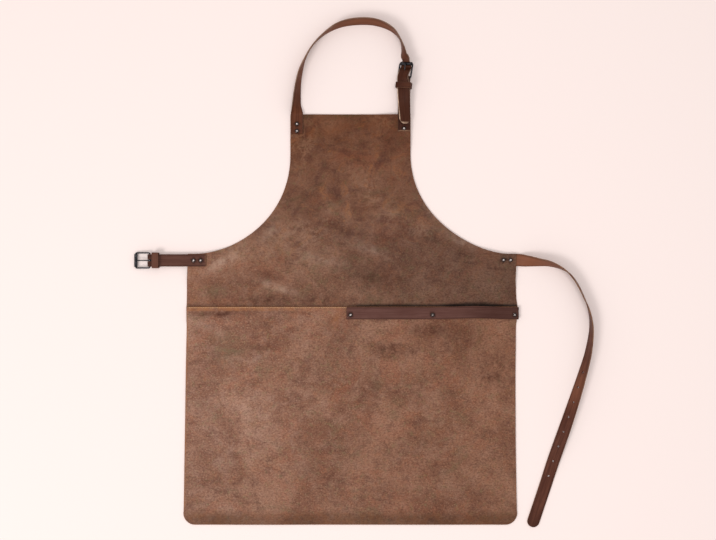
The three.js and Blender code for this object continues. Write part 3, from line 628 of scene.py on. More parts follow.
def strap_section(width, thickness=STRAP_THICKNESS, corner=STRAP_CORNER):
    """Rounded cross-section: places across and through, with the share of cut edge and of crease at each."""
    half, deep = width / 2, thickness / 2
    crease = half - 2.2
    slope = math.cos(math.pi / 4)
    across = [half - corner, half - corner - 0.5, crease, crease - 0.9, crease * 0.55, 0]
    front = [*across, *[-a for a in across[-2::-1]]]
    marks = [0.3, 0.0, 1.0, 0.0, 0.0, 0.0, 0.0, 0.0, 1.0, 0.0, 0.3]
    turn_in = corner * (1 - slope)
    rows = []
    for sign in (1, -1):
        for a, mark in zip(front, marks):
            rows.append((sign * a, sign * deep, mark if mark == 0.3 else 0.0, 1.0 if mark == 1.0 else 0.0))
        rows.append((-sign * (half - turn_in), sign * (deep - turn_in), 0.85, 0.0))
        rows.append((-sign * half, sign * (deep - corner), 1.0, 0.0))
        rows.append((-sign * half, -sign * (deep - corner), 1.0, 0.0))
        rows.append((-sign * (half - turn_in), -sign * (deep - turn_in), 0.85, 0.0))
    return np.array(rows)


def strap_mesh(stations, thickness=STRAP_THICKNESS, corner=STRAP_CORNER, closed=False):
    """Points, faces and attributes of a strap through its stations."""
    points, shares = [], []
    for place in stations:
        width = place.get("width", STRAP_WIDTH)
        section = strap_section(max(width, NARROWEST_SECTION), thickness, corner)
        squeeze = min(1.0, width / NARROWEST_SECTION)
        for across, through, edge, crease in section:
            points.append(place["centre"] + place["side"] * across * squeeze + place["face"] * through)
            shares.append((place["along"], across, through, edge, crease))
    shares = np.array(shares)
    attributes = {
        "track": shares[:, :3], "edge": shares[:, 3], "crease": shares[:, 4],
        "dusk": 0.4 * smooth_between(np.abs(shares[:, 1]), *DARK_RIM),
    }
    return np.array(points), loft(len(stations), len(section), closed), attributes


def raise_to(attributes, key, *others):
    """Lifts one attribute to the strongest of several."""
    attributes[key] = np.max([attributes[key], *others], axis=0)


def rivet_shade_rings(x, y, places):
    """How strongly the leather is painted dark round its rivets: painted shade of each cap and its dent."""
    apart = np.min([np.hypot(x - rivet_x, y - rivet_y) for rivet_x, rivet_y in places], axis=0)
    return 1 - smooth_between(apart, *RIVET_SHADE_RING)


def cut_away(obj, cutters):
    """Cuts closed meshes, given as points and faces in millimetres, out of a piece."""
    for i, (points, faces) in enumerate(cutters):
        tool = closed_object(f"cutter_{i}", points, faces)
        modifier = obj.modifiers.new("cut", "BOOLEAN")
        modifier.operation = "DIFFERENCE"
        modifier.solver = "EXACT"
        modifier.object = tool
        graph = bpy.context.evaluated_depsgraph_get()
        result = bpy.data.meshes.new_from_object(obj.evaluated_get(graph), depsgraph=graph)
        obj.modifiers.clear()
        used = (obj.data, tool.data)
        obj.data = result
        bpy.data.objects.remove(tool)
        for mesh in used:
            bpy.data.meshes.remove(mesh)


def round_skin(rings, second, sides, closed=False, start=0.0):
    """Points and faces over round rings, each with its centre, one direction across it and its radius."""
    angles = 2 * math.pi * (np.arange(sides) + start) / sides
    points = []
    for centre, first, radius in rings:
        points += [centre + radius * (first * math.cos(a) + second * math.sin(a)) for a in angles]
    return np.array(points), loft(len(rings), sides, closed)


def cylinder(centre, axis, radius, half, sides=24):
    """Points and faces of a closed cylinder about an axis."""
    axis = unit(np.asarray(axis, float))
    first = unit(np.cross(axis, [0.0, 1.0, 0.0] if abs(axis[1]) < 0.9 else [1.0, 0.0, 0.0]))
    rings = [(centre + axis * h, first, radius) for h in (-half, half)]
    return round_skin(rings, np.cross(axis, first), sides)


def spun(profile, sides, hollow=False):
    """Points and faces of a round solid about Z from a profile of radius and height."""
    points, faces, rings = [], [], []
    angles = np.arange(sides) * 2 * math.pi / sides
    for radius, height in profile:
        if radius < 1e-6:
            rings.append([len(points)])
            points.append((0, 0, height))
        else:
            rings.append(list(range(len(points), len(points) + sides)))
            points += [(radius * math.cos(a), radius * math.sin(a), height) for a in angles]
    pairs = list(zip(rings[:-1], rings[1:]))
    if hollow:
        pairs.append((rings[-1], rings[0]))
    for low, high in pairs:
        for j in range(sides):
            k = (j + 1) % sides
            if len(low) == 1:
                faces.append((low[0], high[j], high[k]))
            elif len(high) == 1:
                faces.append((low[j], low[k], high[0]))
            else:
                faces.append((low[j], low[k], high[k], high[j]))
    return np.array(points), faces


# Panels
def level_row(table, share, y):
    """A straight row across a panel, from its left edge to its right."""
    sides = (table["left"], table["right"])
    return tuple((BODY_HALF * np.interp(share, table["share"], side), y) for side in sides)


def pad_height(x, y):
    """How far the upper panel rides over the straps and the rivet backs under it."""
    margin, ramp = 12, 40
    waist_low = WAIST_STRAP_Y - STRAP_WIDTH / 2
    pads = [
        (-2 * BODY_HALF, WAIST_LEFT + WAIST_LAP, waist_low, WAIST_RISE, OVER_STRAP),
        (WAIST_RIGHT - WAIST_LAP, 2 * BODY_HALF, waist_low, WAIST_RISE, OVER_STRAP),
        (BIB_SIDE - STRAP_WIDTH / 2, 2 * BIB_HALF, BIB_RISE - NECK_BUCKLE_LAP, BIB_RISE, OVER_STRAP),
        (-2 * BIB_HALF, -BIB_SIDE + STRAP_WIDTH / 2, BIB_RISE - NECK_LAP, BIB_RISE, UNDER_STRAP),
    ]
    height = np.zeros_like(x)
    calm = np.ones_like(x)
    for left, right, low, high, rise in pads:
        apart_x = np.maximum(np.maximum(left - x, x - right), 0)
        apart_y = np.maximum(np.maximum(low - y, y - high), 0)
        apart = np.hypot(apart_x, apart_y)
        clear = smooth_between(apart, margin, margin + ramp)
        height = np.maximum(height, rise * (1 - clear))
        calm = np.minimum(calm, clear)
    return height, calm


def ripple(x, y):
    """Gentle waves of leather that has been rolled and then laid out, from 0 to about 1."""
    waves = (
        np.sin(x / 47 + 0.6 * np.sin(y / 61)) * np.sin(y / 83 + 1.3)
        + 0.7 * np.sin((x + 0.8 * y) / 39 + 2.1) * np.sin((x - y) / 118)
        + 0.5 * np.sin((0.4 * x - y) / 26 + 0.7 * np.sin(x / 90))
    )
    return np.clip(0.5 + waves / 3.6, 0, 1)


def spread_columns(length):
    """Shares along a row of that length, crowded at both ends for the rounded edge."""
    near = [0.0, 0.35, 0.8, 1.4, 2.4, 4.0]
    inner = np.linspace(4.0, length - 4.0, PANEL_COLUMNS + 1)[1:-1]
    return np.concatenate([near, inner, [length - n for n in reversed(near)]]) / length


def edge_drop(apart):
    """How far the rounded edge falls at a distance in from the cut."""
    t = np.clip(1 - apart / EDGE_ROUND, 0, 1)
    return 0.8 * (1 - np.sqrt(1 - 0.96 * t * t))


def panel(name, rows, top_apart, low_apart, height_at, marks_at, replaced):
    """A sheet over straight rows between two edges, with rounded edges, and closed underneath."""
    grid = []
    edge_apart = []
    for (lx, ly), (rx, ry) in rows:
        length = math.hypot(rx - lx, ry - ly)
        shares = spread_columns(length)
        grid.append(np.stack([lx + (rx - lx) * shares, ly + (ry - ly) * shares], axis=1))
        edge_apart.append(np.minimum(shares, 1 - shares) * length)
    grid, edge_apart = np.array(grid), np.array(edge_apart)
    x, y = grid[..., 0], grid[..., 1]
    apart = np.minimum(edge_apart, np.minimum(top_apart, low_apart)[:, None])
    base = height_at(x, y)
    drop = edge_drop(apart)
    high = base + PANEL_THICKNESS - drop
    low = base + 0.4 * drop
    tall, wide = x.shape
    layer = tall * wide
    points = np.concatenate([
        np.stack([x, y, low], axis=2).reshape(-1, 3), np.stack([x, y, high], axis=2).reshape(-1, 3),
    ])
    faces = []
    for i in range(tall - 1):
        for j in range(wide - 1):
            a, b, c, d = i * wide + j, i * wide + j + 1, (i + 1) * wide + j + 1, (i + 1) * wide + j
            faces.append((a, d, c, b))
            faces.append((layer + a, layer + b, layer + c, layer + d))
    rim = list(range(wide)) + [i * wide + wide - 1 for i in range(1, tall)]
    rim += [layer - 2 - j for j in range(wide - 1)] + [(tall - 1 - i) * wide for i in range(1, tall - 1)]
    for a, b in zip(rim, rim[1:] + rim[:1]):
        faces.append((a, b, layer + b, layer + a))
    marks = marks_at(x, y, apart)
    attributes = {key: np.concatenate([value.ravel(), value.ravel()]) for key, value in marks.items()}
    flat = np.stack([x * MM, y * MM, np.full_like(x, 3.7)], axis=2).reshape(-1, 3)
    attributes["other"] = np.concatenate([flat, flat])
    return add_piece(name, points, faces, PANEL_LEATHER, replaced, attributes=attributes)


# Marks on the leather by kind: middle, reach along and across, turn in degrees, and strength
MARKS = {
    "stain": [
        (-321, -6, 4, 3, 0, 0.8), (-262, -14, 36, 9, 2, 0.72), (-268, -15, 6, 4, 0, 0.95),
        (-300, -15, 34, 5, 0, 0.5), (-120, -12, 40, 3, 0, 0.3), (200, -60, 70, 22, -6, 0.22),
        (290, -110, 40, 26, 60, 0.25), (-20, -60, 20, 34, 8, 0.22), (-175, -82, 24, 7, -8, 0.8),
        (-172, 14, 50, 9, 0, 0.6), (-62, 14, 38, 10, 0, 0.5), (-168, 62, 24, 12, -20, 0.4),
        (60, 60, 60, 18, 170, 0.4), (81, -89, 40, 15, 0, 0.62), (157, -48, 44, 13, 4, 0.62),
        (286, -144, 34, 12, 0, 0.62), (46, -165, 30, 14, 30, 0.35), (81, 341, 20, 13, 40, 0.5),
        (-20, 336, 26, 12, 160, 0.3), (95, 215, 24, 14, 60, 0.3), (5, 150, 60, 12, 165, 0.25),
        (118, 150, 38, 15, 150, 0.3),
    ],
    "rust": [
        (-30, -26, 16, 8, 70, 0.5), (-114, 333, 16, 8, 70, 0.6), (-75, 352, 20, 10, 20, 0.35),
        (-30, 362, 30, 9, 10, 0.35), (45, 372, 30, 8, 0, 0.3), (40, 206, 34, 16, 30, 0.25),
    ],
    "ash": [
        (-247, -93, 30, 20, 25, 0.42), (-262, -62, 26, 12, 10, 0.35), (-278, 32, 20, 10, 0, 0.5),
        (-88, 390, 14, 4, 0, 0.7), (-6, 391, 27, 3.5, 0, 0.7),
    ],
    "pale": [
        (-187, -105, 18, 7, 30, 0.16), (-292, -44, 30, 9, -25, 0.14), (-262, 92, 34, 11, 32, 0.4),
        (-150, 40, 42, 7, -18, 0.32), (-58, 96, 46, 9, 168, 0.24), (40, 118, 52, 10, 160, 0.24),
        (165, 196, 24, 9, 130, 0.3), (-168, 150, 26, 9, 40, 0.26), (225, 135, 30, 10, 150, 0.26),
    ],
}


def patch(x, y, mid_x, mid_y, long, wide, degrees=0):
    """A soft patch that fades out from its middle, longest in the direction that it is turned to."""
    turn = math.radians(degrees)
    along = (x - mid_x) * math.cos(turn) + (y - mid_y) * math.sin(turn)
    off = (y - mid_y) * math.cos(turn) - (x - mid_x) * math.sin(turn)
    return np.exp(-((along / long) ** 2 + (off / wide) ** 2))


def leather_marks(x, y):
    """How strongly each kind of mark shows at each place."""
    totals = {kind: np.zeros_like(x) for kind in MARKS}
    for kind, marks in MARKS.items():
        for *place, strength in marks:
            raise_to(totals, kind, strength * patch(x, y, *place))
    return totals


def skirt_tones(x, y):
    """Overall lightness, and how far the colour leans away from red."""
    share = x / BODY_HALF
    pale = patch(x, y, -210, -230, 130, 110)
    dark = patch(x, y, 230, -60, 110, 70)
    corner = patch(x, y, -205, -90, 90, 60)
    middle = patch(x, y, 0, -90, 80, 70)
    low = smooth_between(-y, 230, 330)
    tone = 1.0 - 0.1 * share + 0.12 * pale - 0.12 * dark + 0.07 * corner - 0.08 * middle - 0.07 * low
    return tone, 1.02 - 0.05 * share + 0.04 * pale - 0.05 * dark


def upper_tones(x, y):
    share = x / BODY_HALF
    waist = 1 - smooth_between(y, 80, 190)
    tone = np.interp(y, [0, 110, 200, 300, 380], [0.71, 0.7, 0.69, 0.61, 0.515]) - 0.27 * share * waist
    cool = np.interp(y, [0, 150, 250, 330, 385], [1.0, 1.0, 0.93, 0.84, 0.77])
    return tone, cool


def skirt_height(x, y):
    seam = smooth_between(y, -SEAM_LEVEL - SEAM_RAMP, -SEAM_LEVEL)
    calm = smooth_between(-y, 40, 90)
    bead = 0.25 * smooth_between(y, -SEAM_BEAD - 1.5, -SEAM_BEAD + 1)
    return SEAM_STEP * seam + RIPPLE_RISE * calm * ripple(x, y) + bead


def skirt_marks(x, y, apart):
    tone, cool = skirt_tones(x, y)
    band = smooth_between(y, -SEAM_BEAD - 2.5, -SEAM_BEAD + 0.5)
    fade = 1 - 0.75 * smooth_between(x, -260, 60)
    left_line = smooth_between(-x, 329, 335) * smooth_between(apart, 5, 0.5)
    hem = smooth_between(-y, SKIRT_DROP - 34, SKIRT_DROP - 12) * (0.6 + 0.4 * ripple(2 * x, y))
    marks = leather_marks(x, y)
    raise_to(marks, "rust", 0.5 * band * fade, 0.5 * left_line, 0.4 * hem)
    return {
        **marks, "tone": tone * (1 - 0.48 * hem), "cool": cool, "depth": np.full_like(x, 0.15),
        "edge": 0.8 * (1 - smooth_between(apart, 0.2, 1.3)),
    }


def lower_panel():
    left, right = (SKIRT_SIDES[key][-1] * BODY_HALF for key in ("left", "right"))
    rows, low_apart = [], []
    for angle in np.radians(np.linspace(0, 90, 15)):
        inward = SKIRT_CORNER * (1 - math.sin(angle))
        y = -SKIRT_DROP + SKIRT_CORNER * (1 - math.cos(angle))
        rows.append(((left + inward, y), (right - inward, y)))
    straight = SKIRT_DROP - SKIRT_CORNER
    levels = np.concatenate([
        np.linspace(-straight, -42, 96)[1:], np.linspace(-42, -2.4, 28)[1:], [-1.4, -0.8, -0.35, 0],
    ])
    for y in levels:
        rows.append(level_row(SKIRT_SIDES, -y / SKIRT_DROP, y))
    heights = np.array([row[0][1] for row in rows])
    skirt = panel(
        "skirt_leather", rows, -heights, heights + SKIRT_DROP, skirt_height, skirt_marks, ["lower_panel"],
    )


def upper_height(x, y):
    pads, calm = pad_height(x, y)
    calm = calm * smooth_between(y, 15, 60)
    return pads + RIPPLE_RISE * calm * ripple(x + 400, y - 100)


def upper_marks(x, y, apart):
    tone, cool = upper_tones(x, y)
    # Painted shadow: a dark line on the upper panel along the towel strip's top edge, stronger behind the
    # strip and wider under its higher loop.
    behind_strip = smooth_between(x, -10, 20)
    swell = 3.5 * np.exp(-(((x - 250) / 55) ** 2))
    painted_strip_shadow = (0.3 + 0.55 * behind_strip) * (1 - smooth_between(y - swell * behind_strip, 1.5, 6.0))
    marks = leather_marks(x, y)
    # Painted shade: dark rings round the waist rivets, carried with the stain marks.
    raise_to(marks, "stain", 0.8 * rivet_shade_rings(x, y, WAIST_RIVETS))
    return {
        **marks, "tone": tone * (1 - painted_strip_shadow), "cool": cool,
        "depth": 0.35 + 0.65 * smooth_between(y, 60, 220),
        "edge": 0.7 * (1 - smooth_between(apart, 0.2, 1.3)),
    }


def armhole(edge, sweep, t):
    """A point on one armhole's curve, from the waist corner up to the bib."""
    sign = math.copysign(1, edge)
    side = sign * BIB_HALF
    tail = edge - sign * ARMHOLE_TAIL
    knots = [
        (tail, WAIST_RISE), (tail - (tail - side) * sweep, WAIST_RISE),
        (side, ARMHOLE_TOP - (ARMHOLE_TOP - WAIST_RISE) * ARMHOLE_DROP), (side, ARMHOLE_TOP),
    ]
    weights = ((1 - t) ** 3, 3 * t * (1 - t) ** 2, 3 * t * t * (1 - t), t**3)
    return tuple(sum(w * k[axis] for w, k in zip(weights, knots)) for axis in (0, 1))


def upper_panel():
    rows = [((-BODY_HALF, -SEAM_LAP), (1.019 * BODY_HALF, -SEAM_LAP))]
    for y in np.linspace(0, WAIST_RISE, 32):
        rows.append(level_row(WAIST_SIDES, y / WAIST_RISE, y))
    for t in np.linspace(0, 1, 64)[1:]:
        edges = ((WAIST_LEFT, ARMHOLE_SWEEP_LEFT), (WAIST_RIGHT, ARMHOLE_SWEEP_RIGHT))
        rows.append(tuple(armhole(edge, sweep, t) for edge, sweep in edges))
    rim = BIB_RISE - np.array([1.4, 0.8, 0.35, 0])
    tops = np.concatenate([np.linspace(ARMHOLE_TOP, BIB_RISE - 2.4, 30)[1:], rim])
    rows += [((-BIB_HALF, y), (BIB_HALF, y)) for y in tops]
    heights = np.array([(row[0][1] + row[1][1]) / 2 for row in rows])
    upper = panel(
        "bib_and_waist_leather", rows, BIB_RISE - heights, heights + SEAM_LAP, upper_height, upper_marks,
        ["upper_panel"],
    )


lower_panel()
upper_panel()


def seam_stitches():
    """One row of lockstitches through both panels, along the seam's edge."""
    random.seed(7)
    pitch, length, radius, sides = 3.6, 3.1, 0.42, 6
    points, faces = [], []
    x = -BODY_HALF + 5
    while x < BODY_HALF - 1:
        start = len(points)
        y = -STITCH_INSET + random.uniform(-0.12, 0.12)
        slant = random.uniform(-0.06, 0.06)
        rings = []
        for share, size in ((0, 0.25), (0.12, 0.8), (0.5, 1), (0.88, 0.8), (1, 0.25)):
            rise = SEAM_TOP - GAP + 0.3 + 0.28 * math.sin(math.pi * share)
            centre = np.array([x + share * length, y + slant * share * length, rise])
            rings.append((centre, ACROSS, radius * size))
        skin, skin_faces = round_skin(rings, UP, sides)
        points += skin.tolist()
        faces += [tuple(start + v for v in face) for face in skin_faces]
        x += pitch
    return add_piece("seam_stitches", points, faces, THREAD, [])


seam_stitches()


# Straps
def add_strap(name, points, faces, leather, node, attributes):
    name = f"{name}_leather"
    return add_piece(name, points, faces, leather, [node], attributes=attributes)


def towel_rows():
    y_mid = -TOWEL_EDGE - STRAP_WIDTH / 2
    flat = 2 * RIVET_CAP
    rows = [(-TOWEL_END_MARGIN, y_mid, SEAM_TOP, 0)]
    for i, (rise, bow) in enumerate(TOWEL_LOOPS):
        start = i * TOWEL_RIVET_PITCH
        rows.append((start + flat, y_mid, SEAM_TOP, 0))
        for share in (0.15, 0.3, 0.5, 0.7, 0.85):
            swell = math.sin(math.pi * share) ** 2
            x = start + flat + share * (TOWEL_RIVET_PITCH - 2 * flat)
            rows.append((x, y_mid + bow * swell, SEAM_TOP + rise * swell, 0))
        rows.append((start + TOWEL_RIVET_PITCH - flat, y_mid, SEAM_TOP, 0))
    rows.append((2 * TOWEL_RIVET_PITCH + TOWEL_END_MARGIN, y_mid, SEAM_TOP, 0))
    return rows


def towel_strip():
    points, faces, attributes = strap_mesh(Track(towel_rows()).stations(round_tip=False))
    # Darker over the right loop of the strip.
    marked = 0.5 * smooth_between(points[:, 0], 190, 300)
    raise_to(attributes, "dusk", marked, 0.9 * rivet_shade_rings(points[:, 0], points[:, 1], TOWEL_RIVETS))
    add_strap("towel_strip", points, faces, TOWEL_LEATHER, "towel_strip", attributes)


def fold_spine(table, reach, lap, heel, roll, yaw):
    """The middle of a folded strap, its heel bar at the origin and the strap running towards -Y."""
    settle = 4
    away = [*[a * reach for a in table["away"]], reach - settle, reach + lap]
    spreads = [s * FOLD_RADIUS for s in table["spread"]]
    columns = (
        [*table["height"], 0, 0], [*table["turn"], 0, 0], [*spreads, PANEL_SPREAD, PANEL_SPREAD],
    )

    def spot(distance):
        height, turned, spread = (float(np.interp(distance, away, column)) for column in columns)
        facing = rotation(0, -math.radians(roll) * turned, math.radians(yaw) * turned)
        return {
            "centre": np.array([0, -distance, SANDWICH_HEIGHT + (heel - SANDWICH_HEIGHT) * height]),
            "side": facing @ ALONG,
            "face": facing @ UP,
            "roll": roll * turned,
            "spread": spread,
        }

    return spot


def folded_stations(spine, total):
    """Stations down the back layer, round the heel bar and out along the front layer."""
    count = math.ceil(total / STRAP_STEP)
    distances = [total * i / count for i in range(count + 1)]

    def layer(sign, places):
        made = []
        for away in places:
            spot = spine(away)
            face = spot["face"] * sign
            centre = spot["centre"] + face * spot["spread"]
            made.append({"centre": centre, "side": spot["side"], "face": face, "along": sign * away})
        return made

    heel = spine(0)
    forward = np.cross(heel["face"], heel["side"])
    bend = []
    steps = 14
    for i in range(1, steps):
        angle = math.pi * (i / steps - 0.5)
        face = forward * math.cos(angle) + heel["face"] * math.sin(angle)
        centre = heel["centre"] + face * FOLD_RADIUS
        bend.append({"centre": centre, "side": heel["side"], "face": face, "along": 3.0 * angle})
    return [*layer(-1, distances[::-1]), *bend, *layer(1, distances)]


def ring_path(half_width, half_height, corner, steps):
    """A rounded rectangle as points with their outward directions."""
    made = []
    for quarter, (sx, sy) in enumerate([(1, 1), (-1, 1), (-1, -1), (1, -1)]):
        for i in range(steps + 1):
            angle = (math.pi / 2) * (quarter + i / steps)
            out = np.array([math.cos(angle), math.sin(angle)])
            middle = np.array([sx * (half_width - corner), sy * (half_height - corner)])
            made.append((middle + out * corner, out))
    return made


def keeper_mesh(spot, width):
    """A closed leather loop round a folded strap at one spot of its spine."""
    along = np.cross(spot["side"], spot["face"])
    grip = KEEPER_SPREAD + STRAP_THICKNESS / 2 + GAP
    half = grip + KEEPER_ROOM / 2 + KEEPER_WALL / 2
    middle = spot["centre"] + spot["face"] * KEEPER_ROOM / 2
    path = ring_path((KEEPER_SPAN - KEEPER_WALL) / 2, half, KEEPER_BEND, 6)
    stations = []
    distance = 0.0
    for i, (place, out) in enumerate(path):
        distance += float(np.linalg.norm(place - path[i - 1][0])) if i else 0.0
        centre = middle + spot["side"] * place[0] + spot["face"] * place[1]
        face = spot["side"] * out[0] + spot["face"] * out[1]
        stations.append({"centre": centre, "side": along, "face": face, "width": width, "along": distance})
    return strap_mesh(stations, KEEPER_WALL, KEEPER_CORNER, closed=True)


def buckle_frame_mesh():
    path = ring_path(BUCKLE_WIDTH / 2 - BUCKLE_BAR, BUCKLE_REACH / 2, BUCKLE_CORNER, 8)
    rings = []
    for (x, y), out in path:
        rings.append((np.array([x, y + BUCKLE_REACH / 2, 0]), np.array([*out, 0]), BUCKLE_BAR))
    return round_skin(rings, UP, 14, closed=True, start=0.5)


def roller_mesh():
    bore, outer = BUCKLE_BAR + ROLLER_PLAY, ROLLER_RADIUS
    half = (BUCKLE_WIDTH - 2 * ROLLER_END_PLAY) / 2
    end = [
        (bore, half), (outer - 0.5, half), (outer - 0.15, half - 0.15), (outer, half - 0.5),
        (outer, half - 2.0),
    ]
    profile = [*[(radius, -height) for radius, height in end], (outer, 0), *end[::-1]]
    points, faces = spun(profile, 32, hollow=True)
    return points @ rotation(0, math.pi / 2, 0).T + BUCKLE_REACH * ACROSS, faces


def prong_mesh():
    """The wire prong: a coil round the heel bar, and a tapering rod that rests on the roller."""
    taper = [
        (0.0, 1.0), (0.06, 1.0), (0.15, 1.0), (0.3, 0.98), (0.5, 0.95),
        (0.7, 0.92), (0.85, 0.9), (0.93, 0.86), (0.975, 0.7), (0.995, 0.4),
    ]
    rings = [(share * PRONG_LENGTH * ACROSS, ALONG, PRONG_RADIUS * size) for share, size in taper]
    rod, faces = round_skin(rings, UP, 12)
    rod = rod @ rotation(PRONG_RISE, 0, 0).T + PRONG_ROOT * ACROSS
    inner, outer, half = BUCKLE_BAR + GAP, BUCKLE_BAR + GAP + PRONG_WALL, PRONG_RADIUS + PRONG_PLAY
    end = [(inner, half), (outer - 0.4, half), (outer, half - 0.4)]
    profile = [*[(radius, -height) for radius, height in end], *end[::-1]]
    hub, hub_faces = spun(profile, 28, hollow=True)
    hub = hub @ rotation(0, math.pi / 2, 0).T
    faces += [tuple(v + len(rod) for v in face) for face in hub_faces]
    return np.concatenate([rod, hub]), faces


def rivet_mesh(back, front):
    """A domed cap with a pressed ring and a dimple, on its post, with a flat back disc."""
    cap, dome = RIVET_CAP, RIVET_DOME
    profile = [
        (0, back - RIVET_BACK), (cap - 0.3, back - RIVET_BACK), (cap, back - RIVET_BACK + 0.3),
        (cap, back - 0.1), (cap - 0.2, back), (RIVET_POST, back), (RIVET_POST, front), (cap - 0.15, front),
        (cap, front + 0.18), (cap - 0.08, front + 0.45), (cap * 0.9, front + 0.66),
        (cap * 0.82, front + 0.74), (cap * 0.76, front + 0.72), (cap * 0.68, front + 0.92),
        (cap * 0.5, front + 0.86 * dome), (cap * 0.33, front + 0.97 * dome),
        (cap * 0.24, front + 0.96 * dome), (cap * 0.13, front + 0.84 * dome), (0, front + 0.8 * dome),
    ]
    return spun(profile, 28)


def add_rivets(name, places, back, front, put=np.asarray, glint_strength=(1.0, 0.85, 0.7)):
    for i, (x, y) in enumerate(places):
        points, faces = rivet_mesh(back, front)
        turned = rotation(0, 0, 0.7 * i)
        placed = put(points @ turned.T + np.array([x, y, 0]))
        # Painted glint: the middle of each cap is made lighter, by a different amount for each rivet, as a
        # reflection of the lamp.
        middle = 1 - smooth_between(np.hypot(points[:, 0], points[:, 1]), 1.0, 2.2)
        painted_glint = glint_strength[i] * middle * (points[:, 2] > front)
        add_piece(
            f"{name}_cap_{i + 1}", placed, faces, RIVET_METAL, [f"{name}_{i + 1}"],
            attributes={"painted_glint": painted_glint},
        )


def buckle_end(name, leather, spine, heel, facing, reach, lap, inset, keeper, turn_in, shift, bodies):
    """Everything that hangs on one folded strap, made in the strap's own frame and then put in place."""
    def put(points):
        return np.asarray(points) @ turn_in.T + shift

    heel_place = np.array([0, 0, heel])
    total = reach + lap
    rivets = [(0, -(reach + inset + i * RIVET_PITCH)) for i in range(2)]
    points, faces, attributes = strap_mesh(folded_stations(spine, total))
    along = attributes["track"][:, 0]
    # Painted shade on the strap where it folds round the heel bar under the buckle.
    painted_fold_shade = 0.6 * (1 - smooth_between(np.abs(along), 5, 20))
    raise_to(attributes, "dusk", painted_fold_shade, 0.9 * rivet_shade_rings(points[:, 0], points[:, 1], rivets))
    attributes["edge"] = np.maximum(0.3 * attributes["edge"], 0.8 * (along > total - 0.5))
    strap = add_strap(f"{name}_buckle", put(points), faces, leather, f"{name}_buckle_strap", attributes)
    axis = turn_in @ facing @ ALONG
    cut_away(strap, [cylinder(put(heel_place), axis, SLOT_RADIUS, PRONG_RADIUS + PRONG_PLAY + GAP, 32)])
    keeper_place, keeper_width = keeper
    points, faces, attributes = keeper_mesh(spine(keeper_place), keeper_width)
    attributes["edge"] = 0.3 * attributes["edge"]
    # Painted highlight along the keeper's top.
    attributes["painted_light"] = 0.08 * (points[:, 2] > np.max(points[:, 2]) - 4)
    add_strap(f"{name}_keeper", put(points), faces, leather, f"{name}_keeper", attributes)
    front = SANDWICH_HEIGHT + PANEL_SPREAD + STRAP_THICKNESS / 2 + GAP
    add_rivets(f"{name}_buckle_rivet", rivets, RIVET_BACK, front, put)
    parts = {"buckle_frame": buckle_frame_mesh(), "roller": roller_mesh(), "prong": prong_mesh()}
    for part, (points, faces) in parts.items():
        placed = put(points @ facing.T + heel_place)
        add_piece(
            f"{name}_{part}_metal", placed, faces, BUCKLE_METAL, [f"{name}_{part}"],
            bodies[part], attributes={"painted_glint": np.zeros(len(placed))},
        )


def waist_buckle():
    heel = KEEPER_WALL + GAP + STRAP_THICKNESS / 2 + KEEPER_SPREAD
    pitch = -math.asin((heel - ROLLER_RADIUS) / BUCKLE_REACH)
    spine = fold_spine(WAIST_FOLD, WAIST_BUCKLE_REACH, WAIST_LAP, heel, 0, 0)
    shift = np.array([WAIST_LEFT - WAIST_BUCKLE_REACH, WAIST_RISE - WAIST_BUCKLE_DROP, 0])
    bodies = {"buckle_frame": "waist_buckle", "roller": "waist_roller", "prong": "waist_prong"}
    buckle_end(
        "waist", BUCKLE_LEATHER, spine, heel, rotation(pitch, 0, 0), WAIST_BUCKLE_REACH, WAIST_LAP,
        WAIST_RIVET_INSET, (WAIST_KEEPER_PLACE, WAIST_KEEPER_WIDTH), rotation(0, 0, math.pi / 2), shift,
        bodies,
    )


TILT = math.radians(NECK_BUCKLE_ROLL)
ROLLER_SEAT = ROLLER_RADIUS + GAP + STRAP_THICKNESS / 2
FOLD_SEAT = FOLD_RADIUS + STRAP_THICKNESS + GAP
NECK_HEEL = ROLLER_SEAT * math.cos(TILT) + (STRAP_WIDTH / 2) * math.sin(TILT) + STRAP_THICKNESS
NECK_FACING = rotation(0, -TILT, math.radians(NECK_BUCKLE_YAW))
NECK_PLACE = np.array([BIB_SIDE, BIB_RISE + NECK_BUCKLE_RISE, 0])
NECK_SPINE = fold_spine(
    NECK_FOLD, NECK_BUCKLE_RISE, NECK_BUCKLE_LAP, NECK_HEEL, NECK_BUCKLE_ROLL, NECK_BUCKLE_YAW,
)


def neck_buckle():
    bodies = {"buckle_frame": "root", "roller": "root", "prong": "root"}
    buckle_end(
        "neck", NECK_BUCKLE_LEATHER, NECK_SPINE, NECK_HEEL, NECK_FACING, NECK_BUCKLE_RISE, NECK_BUCKLE_LAP,
        NECK_BUCKLE_RIVET_INSET, (NECK_KEEPER_PLACE, NECK_KEEPER_WIDTH), np.eye(3), NECK_PLACE, bodies,
    )


def resting_lift(centre, lean):
    angle = math.radians(lean)
    return centre[2] - abs(math.sin(angle)) * STRAP_WIDTH / 2 - math.cos(angle) * STRAP_THICKNESS / 2


